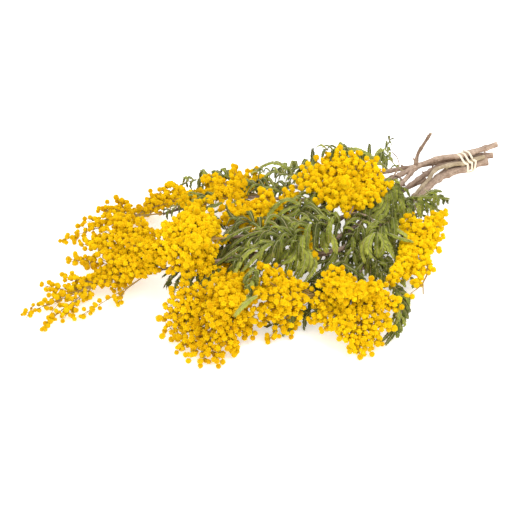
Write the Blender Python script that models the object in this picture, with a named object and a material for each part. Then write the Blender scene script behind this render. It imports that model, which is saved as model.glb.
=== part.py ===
"""A tied bunch of mimosa branches, lying down.

Six woody stems are held by an elastic wound three times round them. They carry
compound panicles of small puff flowers and feathery leaves, dried and drooping.
X runs along the bunch from the flower tips to the cut ends, Y goes to the back,
Z is up, and the bunch rests on z = 0 with its bounding box centred on the origin.
"""

import math
import random

import bmesh
import bpy
from mathutils import Vector

MM = 0.001
GAP = 0.0003
SOLVER = "MANIFOLD"
FLOOR = 0.0

# Stems
STEM_SIDES = 8
STEM_STEP = 0.020

# Flower panicles: a short trunk, forks along it, and one lobe of flowers on each branch
LOBE_SIDES = 6
TRUNK_SHARE = 0.5
TRUNK_STEPS = 3
TRUNK_RADIUS = 0.0019
FIRST_FORK = 0.35
LAST_FORK = 0.95
TRUNK_LEAN = 0.2
BRANCH_BEND = 0.45
LOBE_SHARE = 0.5
WIDEST_LOBE = 0.3
LOBE_VARIATION = 0.08
STALK_RADIUS = 0.0013
LOBE_PROFILE = ((0.0, 0.12), (0.42, 0.80), (0.80, 1.0), (1.0, 0.42))

# Leaves: a main rib with pairs of pinnae that sweep forwards and droop
RIB_RADIUS = 0.0012
RIB_STEPS = 4
PINNA_PAIRS = 3
FIRST_PAIR = 0.28
LAST_PAIR = 0.94
LONGEST_PAIR = 0.4
PAIR_TAPER = 0.7
PINNA_SIDES = 4
PINNA_RADIUS = 0.0032
PINNA_PROFILE = ((0.0, 0.45), (0.5, 1.0), (1.0, 0.4))
PINNA_SWEEP = 0.75
SHOULDER_OUT = 0.5
SHOULDER_RISE = 0.08
PINNA_OUT = 0.8
PINNA_DROP = 0.42
SHORT_WAY = 0.05

# Elastic round the stems
BAND_START = 0.2365
BAND_PITCH = 0.0052
BAND_TURNS = 3
BAND_RADIUS = 0.0009
BAND_FIRST_ANGLE = math.radians(-60)
BAND_RETURN = 0.36
BAND_RAMP = 1 / 6
BAND_STEPS = 24
BAND_SIDES = 6

BARK = ("bark", (0.34, 0.23, 0.18), 0.85)
GREEN_BARK = ("green bark", (0.36, 0.31, 0.17), 0.8)
PUFF = ("puff flowers", (0.95, 0.66, 0.02), 0.9)
LEAF = ("dried leaf", (0.15, 0.22, 0.06), 0.8)
ELASTIC = ("natural rubber", (0.80, 0.70, 0.52), 0.6)

# Each stem's route from its cut end through the tie to its flowers, in millimetres,
# its radius at the cut end, its radius at the far end, and its material.
STEMS = {
    "stem_upper": (
        [
            (285, 20.5, 40.5), (272, 22, 39.5), (258, 24.5, 38.3), (240, 25, 38.3), (226, 30, 39.5),
            (214, 32, 41), (194, 31, 43), (173, 26, 46), (139, 16, 52), (108, 12, 56), (69, 15, 56),
            (32, 36, 52), (-1, 72, 46), (-30, 98, 40), (-66, 106, 38), (-95, 108, 38),
        ],
        3.1, 1.3, BARK,
    ),
    "stem_green": (
        [
            (266, 18, 32), (256, 17.5, 33.4), (240, 17.5, 33.6), (224, 20, 36), (198, 17, 40.5),
            (177, 3, 43.5), (152, -12, 46), (123, -29, 47), (106, -46, 46), (94, -62, 44),
        ],
        2.4, 1.5, GREEN_BARK,
    ),
    "stem_dark": (
        [
            (268, 23, 31), (256, 24.5, 31.5), (240, 24.5, 31.5), (222, 27, 32.5), (205, 27, 34),
            (188, 18, 39.5), (168, 8, 45), (138, -6, 50), (84, -28, 56), (42, -43, 59), (-1, -52, 61),
            (-44, -56, 62), (-76, -60, 58), (-106, -64, 50),
        ],
        2.9, 1.3, BARK,
    ),
    "stem_thick": (
        [
            (270, 16, 25), (256, 20, 25), (240, 20, 25), (226, 21, 25), (204, 18, 26), (166, 0, 33.5),
            (118, -27, 43), (59, -48, 49), (18, -54, 49), (-33, -38, 53), (-77, -18, 55),
            (-118, 4, 48), (-153, 32, 36), (-188, 56, 24),
        ],
        4.4, 1.4, BARK,
    ),
    "stem_front": (
        [
            (281, 20, 27.5), (270, 26.5, 26), (256, 29.5, 26), (240, 29.5, 26), (222, 29, 23.5),
            (200, 24, 18.5), (170, 6, 19), (154, -6, 21), (97, -38, 29), (50, -70, 36), (12, -94, 41),
            (-20, -106, 44),
        ],
        3.3, 1.3, BARK,
    ),
    "stem_back": (
        [
            (262, 31, 34), (254, 31.5, 33.5), (240, 31.5, 33.5), (222, 36, 32), (200, 42, 31),
            (160, 49, 34), (120, 54, 36), (70, 72, 34), (30, 100, 29), (-20, 128, 23),
            (-62, 146, 18),
        ],
        2.8, 1.2, BARK,
    ),
}

# Side branches grown from a stem: the stem, its route, and its radii at the start and end.
FORKS = [
    ("stem_upper", [(176, 27, 45), (150, 11, 47), (123, -1, 50), (86, -8, 53), (39, -21, 57),
                    (-6, -22, 60), (-45, -12, 68), (-78, 0, 70)], 2.6, 1.3),
    ("stem_upper", [(178, 28, 45), (181, 29, 60), (184, 24, 75), (190, 20, 90)], 1.9, 1.5),
    ("stem_thick", [(18, -54, 49), (8, -40, 38), (-14, -20, 28), (-40, 20, 22)], 2.0, 1.2),
]

# Each panicle: its base on a stem, the tips of its branches, and the reach of its racemes.
PANICLES = {
    "flowers_tip": (
        (-186, 54.5, 24.7),
        [(-224, 87, 22), (-279, 74, 5), (-271, 45, 5), (-248, 46, 5), (-244, 98, 10), (-214, 60, 12)],
        15,
    ),
    "flowers_thin_spray": ((-153, 32, 36), [(-236, 38, 7), (-190, 36, 8)], 9),
    "flowers_left_low": (
        (-140, 22, 40.7),
        [(-184, 90, 38), (-203, 116, 16), (-205, 78, 14), (-184, 52, 13), (-184, 62, 44)], 24,
    ),
    "flowers_left_middle": (
        (-118, 4, 48),
        [(-167, 106, 44), (-163, 57, 60), (-150, 121, 46), (-133, 90, 54), (-187, 114, 30),
         (-155, 29, 58), (-176, 46, 40)],
        24,
    ),
    "flowers_left_high": (
        (-92, 107.8, 38),
        [(-196, 146, 20), (-166, 146, 32), (-143, 158, 32), (-121, 158, 32), (-148, 98, 52)], 24,
    ),
    "flowers_dome_left": (
        (-76, -1, 69.8),
        [(-132, 44, 70), (-114, 44, 78), (-94, 24, 84), (-148, 14, 62), (-140, -14, 54), (-126, -14, 88)],
        24,
    ),
    "flowers_rear_sparse": (
        (6, 64, 47.2), [(-30, 128, 46), (-48, 112, 44), (4, 126, 50), (-10, 82, 60)], 16,
    ),
    "flowers_long_stalk": (
        (-40, 100, 39.5), [(-98, 134, 36), (-70, 132, 50), (-76, 98, 52)], 12,
    ),
    "flowers_inner_sparse": (
        (14, -21.7, 58.6), [(-42, 52, 66), (-60, 30, 70), (-6, 52, 68), (-22, 12, 78)], 14,
    ),
    "flowers_dome_upper": (
        (86, -8, 53),
        [(34, 42, 76), (58, 42, 88), (82, 34, 96), (108, 10, 88), (110, -12, 72), (80, -34, 78),
         (48, -22, 104), (26, -8, 84), (46, -32, 74)],
        22,
    ),
    "flowers_right": (
        (98, -56.5, 44.7),
        [(156, -54, 43), (112, -82, 60), (125, -89, 45), (94, -110, 44), (66, -102, 50), (66, -110, 30)],
        18,
    ),
    "flowers_front_hanging": (
        (-76, -60, 58),
        [(-153, -20, 46), (-166, -26, 20), (-136, -66, 76), (-152, -92, 54), (-176, -76, 5),
         (-146, -102, 5), (-104, -92, 14), (-178, -48, 5), (-128, -92, 72)],
        25,
    ),
    "flowers_front_sparse": (
        (-16, -104.6, 43.7),
        [(-72, -56, 66), (-96, -74, 58), (-84, -104, 60), (-91, -104, 5), (-62, -106, 8)], 18,
    ),
    "flowers_dome_front": (
        (12, -94, 41),
        [(-40, -96, 56), (-20, -98, 66), (-30, -138, 74), (12, -136, 60), (28, -148, 36),
         (0, -161, 12), (-24, -160, 5), (-38, -146, 26), (-46, -106, 24)],
        24,
    ),
    "flowers_back_tip": ((-60, 145, 18.3), [(-98, 165, 5), (-122, 156, 5), (-88, 148, 24)], 15),
    "flowers_back_left": ((-16, 125.9, 23.4), [(-26, 160, 5), (-52, 161, 5), (-4, 152, 22)], 16),
    "flowers_back_middle": ((34, 97, 29.4), [(26, 150, 5), (54, 146, 5), (12, 146, 22)], 16),
    "flowers_back_right": ((120, 54, 36), [(142, 106, 5), (120, 120, 5), (150, 84, 22)], 16),
    "flowers_under": ((-37, 15.7, 22.5), [(-92, 50, 5), (-70, 78, 5), (-104, 16, 8)], 16),
}

# Each leaf: its base on a stem, the middle and the tip of its main rib, and the length
# of its pinnae.
LEAVES = {
    "leaf_centre_left": ((-14, -52.9, 61.2), (-30, -36, 76), (-62, -14, 70), 40),
    "leaf_centre": ((30, -46.2, 59.6), (18, -36, 74), (-20, -22, 78), 38),
    "leaf_shaded": ((-44, -12.3, 67.7), (-62, -22, 66), (-88, -26, 60), 26),
    "leaf_centre_right": ((70, -33, 57), (56, -46, 68), (34, -58, 62), 32),
    "leaf_low_middle": ((59, -48, 49), (44, -68, 42), (10, -76, 34), 30),
    "leaf_rear_arch": ((50, 24.9, 54.2), (40, 56, 66), (12, 96, 60), 28),
    "leaf_behind_dome": ((110, 12.2, 56), (100, 34, 83), (70, 46, 97), 26),
    "leaf_rear_low": ((30, 38.2, 51.6), (14, 66, 56), (-8, 84, 58), 26),
    "leaf_front_long": ((54, -67.3, 35.5), (58, -110, 40), (34, -150, 16), 20),
    "leaf_front_dark": ((14, -92.6, 40.8), (-4, -84, 30), (-44, -82, 18), 22),
    "leaf_front_low": ((-19, -105.6, 44), (-34, -96, 20), (-80, -76, 8), 20),
    "leaf_by_stems": ((146, -14.5, 46.2), (154, -30, 40), (172, -26, 20), 24),
    "leaf_under_stems": ((154, -6, 21), (140, -34, 16), (104, -66, 10), 30),
    "leaf_long_stalk": ((-20, 89.3, 42), (-50, 98, 48), (-92, 104, 44), 20),
    "leaf_upper_right": ((139, 16, 52), (112, -12, 64), (70, -30, 66), 30),
    "leaf_under_dome": ((-98, -7, 51.8), (-116, -20, 41), (-146, -16, 21), 20),
    "leaf_single": ((-76, -60, 58), (-90, -66, 72), (-110, -88, 66), 16),
    "leaf_curled": ((160, 22.2, 48.3), (150, 40, 62), (156, 48, 78), 16),
    "leaf_right_low": ((123, -29, 47), (108, -70, 34), (84, -96, 12), 22),
    "leaf_back_right": ((158, 49.3, 34.1), (160, 86, 28), (140, 130, 8), 30),
    "leaf_back_middle": ((90, 64.8, 34.8), (96, 104, 26), (82, 146, 8), 32),
    "leaf_back_left": ((0, 116.8, 25.4), (-4, 138, 34), (-40, 160, 26), 26),
    "leaf_inner": ((108, 12, 56), (84, 30, 48), (44, 44, 36), 28),
}


def clear_scene():
    for piece in list(bpy.data.objects):
        bpy.data.objects.remove(piece, do_unlink=True)


def new_collection(name):
    made = bpy.data.collections.new(name)
    bpy.context.scene.collection.children.link(made)
    return made


def plain_material(kind):
    name, colour, roughness = kind
    made = bpy.data.materials.get(name)
    if made is None:
        made = bpy.data.materials.new(name)
        made.use_nodes = True
        shader = made.node_tree.nodes["Principled BSDF"]
        shader.inputs["Base Color"].default_value = (*colour, 1.0)
        shader.inputs["Roughness"].default_value = roughness
        made.diffuse_color = (*colour, 1.0)
    return made


def metres(place):
    return Vector(place) * MM


def curve_through(places, step):
    """Points about one step apart on a Catmull-Rom curve through the places."""
    ends = [2 * places[0] - places[1], *places, 2 * places[-1] - places[-2]]
    found = []
    for a, b, c, d in zip(ends, ends[1:], ends[2:], ends[3:]):
        count = max(1, round((c - b).length / step))
        for i in range(count):
            t = i / count
            found.append(
                0.5 * (2 * b + (c - a) * t + (2 * a - 5 * b + 4 * c - d) * t**2
                       + (3 * b - a - 3 * c + d) * t**3)
            )
    return [*found, places[-1].copy()]


def arc_between(start, control, end, t):
    """A point of the quadratic curve that leaves start towards control and ends at end."""
    return (1 - t) ** 2 * start + 2 * t * (1 - t) * control + t**2 * end


def tube(name, route, radii, sides, closed=False):
    """A solid tube along the route, with its own radius at each point."""
    curve = bpy.data.curves.new(name, "CURVE")
    curve.dimensions = "3D"
    curve.bevel_depth = 1.0
    curve.bevel_resolution = (sides - 4) // 2
    curve.use_fill_caps = not closed
    spline = curve.splines.new("POLY")
    spline.points.add(len(route) - 1)
    for point, place, radius in zip(spline.points, route, radii):
        point.co = (*place, 1.0)
        point.radius = radius
    spline.use_cyclic_u = closed
    drawn = bpy.data.objects.new(name + "_route", curve)
    bpy.context.scene.collection.objects.link(drawn)
    graph = bpy.context.evaluated_depsgraph_get()
    mesh = bpy.data.meshes.new_from_object(drawn.evaluated_get(graph))
    bpy.data.objects.remove(drawn, do_unlink=True)
    bpy.data.curves.remove(curve)
    whole = bmesh.new()
    whole.from_mesh(mesh)
    bmesh.ops.remove_doubles(whole, verts=whole.verts, dist=1e-6)
    bmesh.ops.recalc_face_normals(whole, faces=whole.faces)
    whole.to_mesh(mesh)
    whole.free()
    mesh.name = name
    made = bpy.data.objects.new(name, mesh)
    cutters.objects.link(made)
    made.hide_render = True
    made.display_type = "WIRE"
    return made


def apply_boolean(piece, others, operation):
    """Joins the others to the piece, or cuts them from it, and removes them."""
    operands = bpy.data.collections.new("operands")
    bpy.context.scene.collection.children.link(operands)
    for other in others:
        operands.objects.link(other)
    boolean = piece.modifiers.new("join", "BOOLEAN")
    boolean.operation = operation
    boolean.operand_type = "COLLECTION"
    boolean.collection = operands
    boolean.solver = SOLVER
    graph = bpy.context.evaluated_depsgraph_get()
    result = bpy.data.meshes.new_from_object(piece.evaluated_get(graph))
    piece.modifiers.clear()
    piece.data = result
    for other in others:
        bpy.data.objects.remove(other, do_unlink=True)
    bpy.data.collections.remove(operands)


def keep_largest(piece):
    """Deletes every loose offcut of the piece but the largest."""
    whole = bmesh.new()
    whole.from_mesh(piece.data)
    unseen = set(whole.verts)
    islands = []
    while unseen:
        island = set()
        edge_of_search = [unseen.pop()]
        while edge_of_search:
            vert = edge_of_search.pop()
            island.add(vert)
            for edge in vert.link_edges:
                other = edge.other_vert(vert)
                if other in unseen:
                    unseen.remove(other)
                    edge_of_search.append(other)
        islands.append(island)
    islands.sort(key=len)
    loose = [vert for island in islands[:-1] for vert in island]
    bmesh.ops.delete(whole, geom=loose, context="VERTS")
    whole.to_mesh(piece.data)
    whole.free()


def finish_node(piece, name, kind):
    """Makes a worked mesh one of the bunch's own parts."""
    piece.name = name
    piece.data.name = name
    piece.data.materials.clear()
    piece.data.materials.append(plain_material(kind))
    piece.data.shade_smooth()
    piece.data.set_sharp_from_angle(angle=math.radians(40))
    piece.hide_render = False
    piece.display_type = "TEXTURED"
    for collection in list(piece.users_collection):
        collection.objects.unlink(piece)
    bunch.objects.link(piece)


def box_of(tubes):
    """The lowest and highest corner of a list of (route, radii, sides)."""
    low = [min(p[k] - r for route, radii, _ in tubes for p, r in zip(route, radii)) for k in range(3)]
    high = [max(p[k] + r for route, radii, _ in tubes for p, r in zip(route, radii)) for k in range(3)]
    return low, high


def boxes_meet(one, other):
    return all(one[0][k] <= other[1][k] + GAP and other[0][k] <= one[1][k] + GAP for k in range(3))


def grown(tubes):
    """The same tubes, wider by the gap that neighbours keep."""
    return [(route, [r + GAP for r in radii], sides) for route, radii, sides in tubes]


def build_node(name, tubes, kind, neighbours):
    """One solid from overlapping tubes, cut clear of the tubes of its neighbours."""
    pieces = [tube(name, *spec) for spec in tubes]
    first = pieces[0]
    if len(pieces) > 1:
        apply_boolean(first, pieces[1:], "UNION")
    near = []
    for spec in neighbours:
        if boxes_meet(box_of(tubes), box_of([spec])):
            near.append(tube("cutter", *spec))
    if near:
        apply_boolean(first, near, "DIFFERENCE")
    keep_largest(first)
    finish_node(first, name, kind)


def above_floor(route, radii):
    return [Vector((p.x, p.y, max(p.z, FLOOR + r))) for p, r in zip(route, radii)]


def tapered(count, start, end):
    return [(start + (end - start) * i / (count - 1)) * MM for i in range(count)]


def stem_tubes(name):
    places, start, end, _ = STEMS[name]
    route = curve_through([metres(p) for p in places], STEM_STEP)
    tubes = [(route, tapered(len(route), start, end), STEM_SIDES)]
    for parent, fork, fork_start, fork_end in FORKS:
        if parent == name:
            side = curve_through([metres(p) for p in fork], STEM_STEP)
            tubes.append((side, tapered(len(side), fork_start, fork_end), STEM_SIDES))
    return tubes


def panicle_tubes(name):
    base, tips, reach = PANICLES[name]
    draw = random.Random(name)
    base = metres(base)
    tips = [metres(tip) for tip in tips]
    hub = sum(tips, Vector()) / len(tips)
    trunk = (hub - base) * TRUNK_SHARE
    stalk = [base + trunk * i / TRUNK_STEPS for i in range(TRUNK_STEPS + 1)]
    tubes = [(stalk, [TRUNK_RADIUS] * len(stalk), LOBE_SIDES)]
    for i, tip in enumerate(tips):
        start = base + trunk * (FIRST_FORK + (LAST_FORK - FIRST_FORK) * i / (len(tips) - 1))
        length = (tip - start).length
        control = start + (tip - start) * BRANCH_BEND + trunk.normalized() * length * TRUNK_LEAN
        widest = min(reach * LOBE_SHARE * MM, length * WIDEST_LOBE)
        route = []
        radii = []
        for t, width in LOBE_PROFILE:
            vary = draw.uniform(1 - LOBE_VARIATION, 1 + LOBE_VARIATION)
            route.append(arc_between(start, control, tip, t))
            radii.append(max(STALK_RADIUS, widest * width * vary))
        radii[0] = STALK_RADIUS
        tubes.append((above_floor(route, radii), radii, LOBE_SIDES))
    return tubes


def leaf_tubes(name):
    base, middle, tip, length = LEAVES[name]
    base, middle, tip = metres(base), metres(middle), metres(tip)
    control = 2 * middle - (base + tip) / 2
    rib = [arc_between(base, control, tip, i / RIB_STEPS) for i in range(RIB_STEPS + 1)]
    tubes = [(rib, [RIB_RADIUS] * len(rib), PINNA_SIDES)]
    up = Vector((0, 0, 1))
    radii = [width * PINNA_RADIUS for _, width in PINNA_PROFILE]
    for pair in range(PINNA_PAIRS):
        share = pair / (PINNA_PAIRS - 1)
        t = FIRST_PAIR + (LAST_PAIR - FIRST_PAIR) * share
        start = arc_between(base, control, tip, t)
        along = (arc_between(base, control, tip, t + SHORT_WAY) - start).normalized()
        across = along.cross(up).normalized()
        size = length * MM * (1.0 - PAIR_TAPER * abs(share - LONGEST_PAIR))
        for side in (-1, 1):
            out = (along * PINNA_SWEEP + across * side).normalized()
            shoulder = start + (out * SHOULDER_OUT + up * SHOULDER_RISE) * size
            end = start + (out * PINNA_OUT - up * PINNA_DROP) * size
            bend = 2 * shoulder - (start + end) / 2
            route = [arc_between(start, bend, end, t) for t, _ in PINNA_PROFILE]
            tubes.append((above_floor(route, radii), radii, PINNA_SIDES))
    return tubes


def section_of(name, x):
    """The middle and the radius of a stem where it passes x."""
    route, radii, _ = stem_tubes(name)[0]
    for a, b, one, other in zip(route, route[1:], radii, radii[1:]):
        if a.x >= x >= b.x:
            t = (a.x - x) / (a.x - b.x)
            return a.lerp(b, t), one + (other - one) * t


def tie_outline(angle, x):
    """Where an elastic lies on the stems at this angle round the bundle."""
    facing = Vector((0.0, math.cos(angle), math.sin(angle)))
    sections = [section_of(name, x) for name in STEMS]
    place, radius = max(sections, key=lambda section: section[0].dot(facing) + section[1])
    return place + facing * (radius + GAP + BAND_RADIUS), facing


def band_route():
    """Three turns along the stems, and a last stretch underneath that crosses back over them."""
    total = BAND_TURNS * BAND_STEPS
    back = round(BAND_RETURN * BAND_STEPS)
    route = []
    for i in range(total):
        angle = BAND_FIRST_ANGLE + 2 * math.pi * i / BAND_STEPS
        if i < total - back:
            along = i / BAND_STEPS * BAND_PITCH
            lift = 0.0
        else:
            t = (i - (total - back)) / back
            along = (total - back) / BAND_STEPS * BAND_PITCH * (1 - t)
            lift = (2 * BAND_RADIUS + GAP) * min(1.0, t / BAND_RAMP, (1 - t) / BAND_RAMP)
        place, facing = tie_outline(angle, BAND_START + along)
        route.append(place + facing * lift)
    return route


clear_scene()
bunch = new_collection("mimosa_bunch")
cutters = new_collection("cutters")

taken = []
for stem, (_, _, _, bark) in STEMS.items():
    tubes = stem_tubes(stem)
    build_node(stem, tubes, bark, taken)
    taken += grown(tubes)

band = tube("elastic_tie", band_route(), [BAND_RADIUS] * (BAND_TURNS * BAND_STEPS), BAND_SIDES, closed=True)
finish_node(band, "elastic_tie", ELASTIC)

for panicle in PANICLES:
    tubes = panicle_tubes(panicle)
    build_node(panicle, tubes, PUFF, taken)
    taken += grown(tubes)

for leaf in LEAVES:
    tubes = leaf_tubes(leaf)
    build_node(leaf, tubes, LEAF, taken)
    taken += grown(tubes)

for leftover in list(cutters.objects):
    bpy.data.objects.remove(leftover, do_unlink=True)
bpy.data.collections.remove(cutters)
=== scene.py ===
"""The looks of a tied bunch of mimosa branches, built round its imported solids.

The stems, panicles and leaves follow the same routes as the solids that they
replace, in the same frame. X runs along the bunch from the flower tips to the cut
ends, Y goes to the back, Z is up, and the bunch rests on z = 0.
"""

import math
import random

import bmesh
import bpy
import numpy as np
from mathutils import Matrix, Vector, kdtree


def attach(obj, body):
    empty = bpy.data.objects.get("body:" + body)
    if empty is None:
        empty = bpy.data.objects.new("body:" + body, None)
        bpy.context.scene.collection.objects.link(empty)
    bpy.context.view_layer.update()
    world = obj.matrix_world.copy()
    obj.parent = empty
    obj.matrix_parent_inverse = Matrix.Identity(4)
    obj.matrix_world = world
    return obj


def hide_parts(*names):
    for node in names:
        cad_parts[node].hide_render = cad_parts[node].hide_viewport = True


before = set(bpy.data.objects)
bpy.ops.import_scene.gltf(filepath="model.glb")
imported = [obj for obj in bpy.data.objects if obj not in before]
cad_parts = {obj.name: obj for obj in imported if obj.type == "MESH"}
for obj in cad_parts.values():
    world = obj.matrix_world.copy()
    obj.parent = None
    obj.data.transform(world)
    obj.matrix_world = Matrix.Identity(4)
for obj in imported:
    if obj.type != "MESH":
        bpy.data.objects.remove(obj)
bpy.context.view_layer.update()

MM = 0.001
UP = np.array((0.0, 0.0, 1.0))
GOLDEN_ANGLE = math.radians(137.5)

# Camera: it looks at this place, from this direction and distance, and sees this width there
LOOKS_AT = (-0.024, 0.035, 0.0)
CAMERA_AZIMUTH = math.radians(-32)
CAMERA_ELEVATION = math.radians(38)
CAMERA_DISTANCE = 2.0
WIDTH_SEEN = 0.548

# Stems
BARK_SIDES = 16
BARK_STEP = 0.0025
BARK_CREASE = math.radians(50)

# How much a stem's outline waves, and for each wave how often it goes round and the length
# along the stem in which it turns by one radian
BARK_WAVE = 0.035
BARK_WAVES = ((1, 0.0105), (2, 0.0065), (3, 0.017), (5, 0.025))

# Knuckles on a stem, the collar where a side branch leaves it, and the spurs of lost twigs
KNUCKLE_SPACING = 0.019
FIRST_KNUCKLE = (0.3, 0.9)
KNUCKLE_GAPS = (0.7, 1.5)
KNUCKLE_SWELL = 0.30
KNUCKLE_LENGTH = 0.0028
COLLAR_SWELL = 0.45
COLLAR_LENGTH = 0.005
SPUR_LENGTH = 0.0042
SPUR_RADIUS = 0.0011
SPUR_PLACES = (0.0, 0.6, 1.0)
SPUR_WIDTHS = (1.3, 0.9, 0.55)
SPUR_SIDES = 6
SPUR_LEAN = 0.9
SPUR_DEPTH = 0.5
SPUR_STEM = 0.0025

# How much darker a stem gets towards its young end, and how late
YOUNG_DARK = 0.9
YOUNG_ONSET = 1.3

# Panicles: the same trunk, forks and lobes as the solids have
TRUNK_SHARE = 0.5
FIRST_FORK = 0.35
LAST_FORK = 0.95
TRUNK_LEAN = 0.2
BRANCH_BEND = 0.45
LOBE_SHARE = 0.5
WIDEST_LOBE = 0.3
LOBE_PLACES = (0.0, 0.42, 0.80, 1.0)
LOBE_WIDTHS = (0.12, 0.80, 1.0, 0.42)

# Twigs within a panicle
TRUNK_THICK = 0.0011
BRANCH_THICK = 0.0008
BRANCH_THIN = 0.0004
RACEME_THICK = 0.0004
RACEME_THIN = 0.00025
PEDICEL_THICK = 0.00022
PEDICEL_THIN = PEDICEL_THICK * 0.8
TWIG_SIDES = 4
STALK_SIDES = 3
TWIG_STEP = 0.004
BRANCH_STEPS = 12
RACEME_STEPS = 5

# Where racemes leave a branch and how far they reach from it
FIRST_RACEME = 0.30
RACEME_INSET = 0.0030
NARROWEST = 0.0015
LONGEST_RACEME = 0.55
BARE_RACEME = 0.22
BARE_BRANCH = 0.62
RACEME_PLACES = (0.3, 0.8)
ANGLE_VARIATION = 0.25
OFFSET_RANGE = (0.75, 1.1)
REACH_RANGE = (0.7, 0.95)
FIRST_LEAVING = 0.08
RACEME_BEND = 0.55
OFF_UPRIGHT = 0.1

# Racemes that reach less than this, in millimetres, bear their heads wider apart
SPARSE_REACH = 17

# Smaller branches between tips that aren't far apart, and low ones, with a share of the racemes
FAR_TIPS = 0.062
BETWEEN_REACH = 1.04
SMALL_SHARE = 0.7
LOW_TIP = 0.010
LOW_SHARE = 0.75

# How far the first raceme turns round from one branch to the next
BRANCH_TURN = 1.7
SMALL_TURN = 2.1

# Flower heads
HEAD_RADIUS = 0.0032
RACEME_CLEARANCE = HEAD_RADIUS * 0.6
BRANCH_CLEARANCE = HEAD_RADIUS * 0.7
HEAD_VARIATION = 0.11
BUD_RADIUS = 0.0019
BUD_SHARE = 0.05
BUD_RIPENESS = 0.2
RIPE_VARIATION = 0.16
HEAD_LEAN = 0.45
HEAD_SPACING = 0.0045
SPARSE_SPACING = 0.0056
FIRST_HEAD_GAP = (0.45, 0.7)
HEAD_GAPS = (0.5, 0.8)
PEDICEL = 0.0020
PEDICEL_RANGE = (0.6, 1.4)
VALLEY = 0.74
# How far the spike tips are painted paler, as a painted sheen
TIP_SHEEN = 0.4
PLAIN_VALLEY = 0.78
SPIKE_VARIATION = 0.14
FLOOR_GAP = 0.0001

# Pushing heads apart: how near two may come, as a share of their radii together
CLOSEST = 0.62
SPREADING_ROUNDS = 6
LARGEST_HEAD = 1.2
SMALLEST_GAP = 1e-6
STALK_PULL = 0.02
CLEAR_OF_FLOOR = 1.02

# Heads shut in on nearly every side are left out, and the most open ones get the finer pattern
OPEN_DIRECTIONS = 32
SHELTER = 0.014
SOLID_SHARE = 0.9
HIDDEN = 0.04
FINE_SHARE = 0.16

# Leaves: the same ribs as the solids have, with finer pinnae
PAIR_SPACING = 0.0062
FIRST_PAIR = 0.16
LAST_PAIR = 0.97
LONGEST_PAIR = 0.4
PAIR_TAPER = 0.7
OPEN_SWEEP = 0.5
CLOSED_SWEEP = 2.2
SWEEP_VARIATION = 0.55
OPEN_HANG = 0.35
CLOSED_HANG = 0.75
HANG_VARIATION = 0.35
SHOULDER_OUT = 0.52
SHOULDER_RISE = 0.12
PINNA_OUT = 0.8
PINNA_CHORD = 0.9
RACHIS_THICK = 0.0007
RACHIS_THIN = 0.00035
RACHIS_STEPS = 12
RACHIS_SIDES = 5
RACHILLA_THICK = 0.0004
RACHILLA_THIN = 0.0002
RACHILLA_SIDES = 3
LONG_PINNA = 0.030
PINNA_STEPS = 9
PINNA_RANGE = (0.85, 1.1)
FEWEST_PAIRS = 5
PAIR_SHIFT = 0.3
LEAST_SWEEP = 0.1
SHOULDER_RANGE = (-0.08, 0.14)
LEAFLET_SPACING = 0.00125
LEAFLET_LENGTH = 0.0054
SHORTEST_LEAFLET = 0.6
PINNA_CLEARANCE = LEAFLET_LENGTH * 0.4
STRAP_LEAFLET = 0.0066
LEAFLET_WIDTH = 0.0022
LEAFLET_FOLD = (0.1, 0.6)
LEAFLET_THICK = 0.00012
LEAFLET_ANGLE = math.radians(45)
LEAFLET_RANGE = (0.9, 1.1)
FEWEST_LEAFLETS = 6
LEAFLET_SEEDS = 10**6
FULLNESS_START = 0.14
FULLNESS_SPAN = 0.76
FULLNESS_POWER = 0.6
FOLD_VARIATION = 0.10
LEAN_VARIATION = 0.06
TIP_LEAN = 0.25
WIDEST_LEAFLET = 0.45
LEAF_CREASE = math.radians(60)

# How light leaves are, from 0 to 1: at random, and for straps also by height, as painted shade that
# darkens them from the lit height down to the shaded one
LEAF_TONES = (0.0, 0.8)
STRAP_TONES = (0.0, 0.3)
LIT_RANGE = (0.0, 0.7)
SHADED_HEIGHT = 0.040
LIT_HEIGHT = 0.074
TONE_VARIATION = 0.12

# How pale a leaflet is at its foot, its tip and its two sides
RIM_PALENESS = (0.0, 1.0, 0.7, 0.7)

# Elastic round the stems
BAND_START = 0.2365
BAND_PITCH = 0.0060
BAND_SLANT = 0.0042
BAND_TURNS = 3
BAND_RETURN = 0.36
BAND_RAMP = 1 / 6
BAND_FIRST_ANGLE = math.radians(-60)
BAND_STEPS = 96
BAND_SIDES = 12
BAND_WIDE = 0.00125
BAND_THICK = 0.00075
BAND_GAP = 0.0002
BAND_MARGIN = 0.02
BAND_SMOOTHINGS = 3
BAND_SQUARENESS = (0.6, 0.8)

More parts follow.
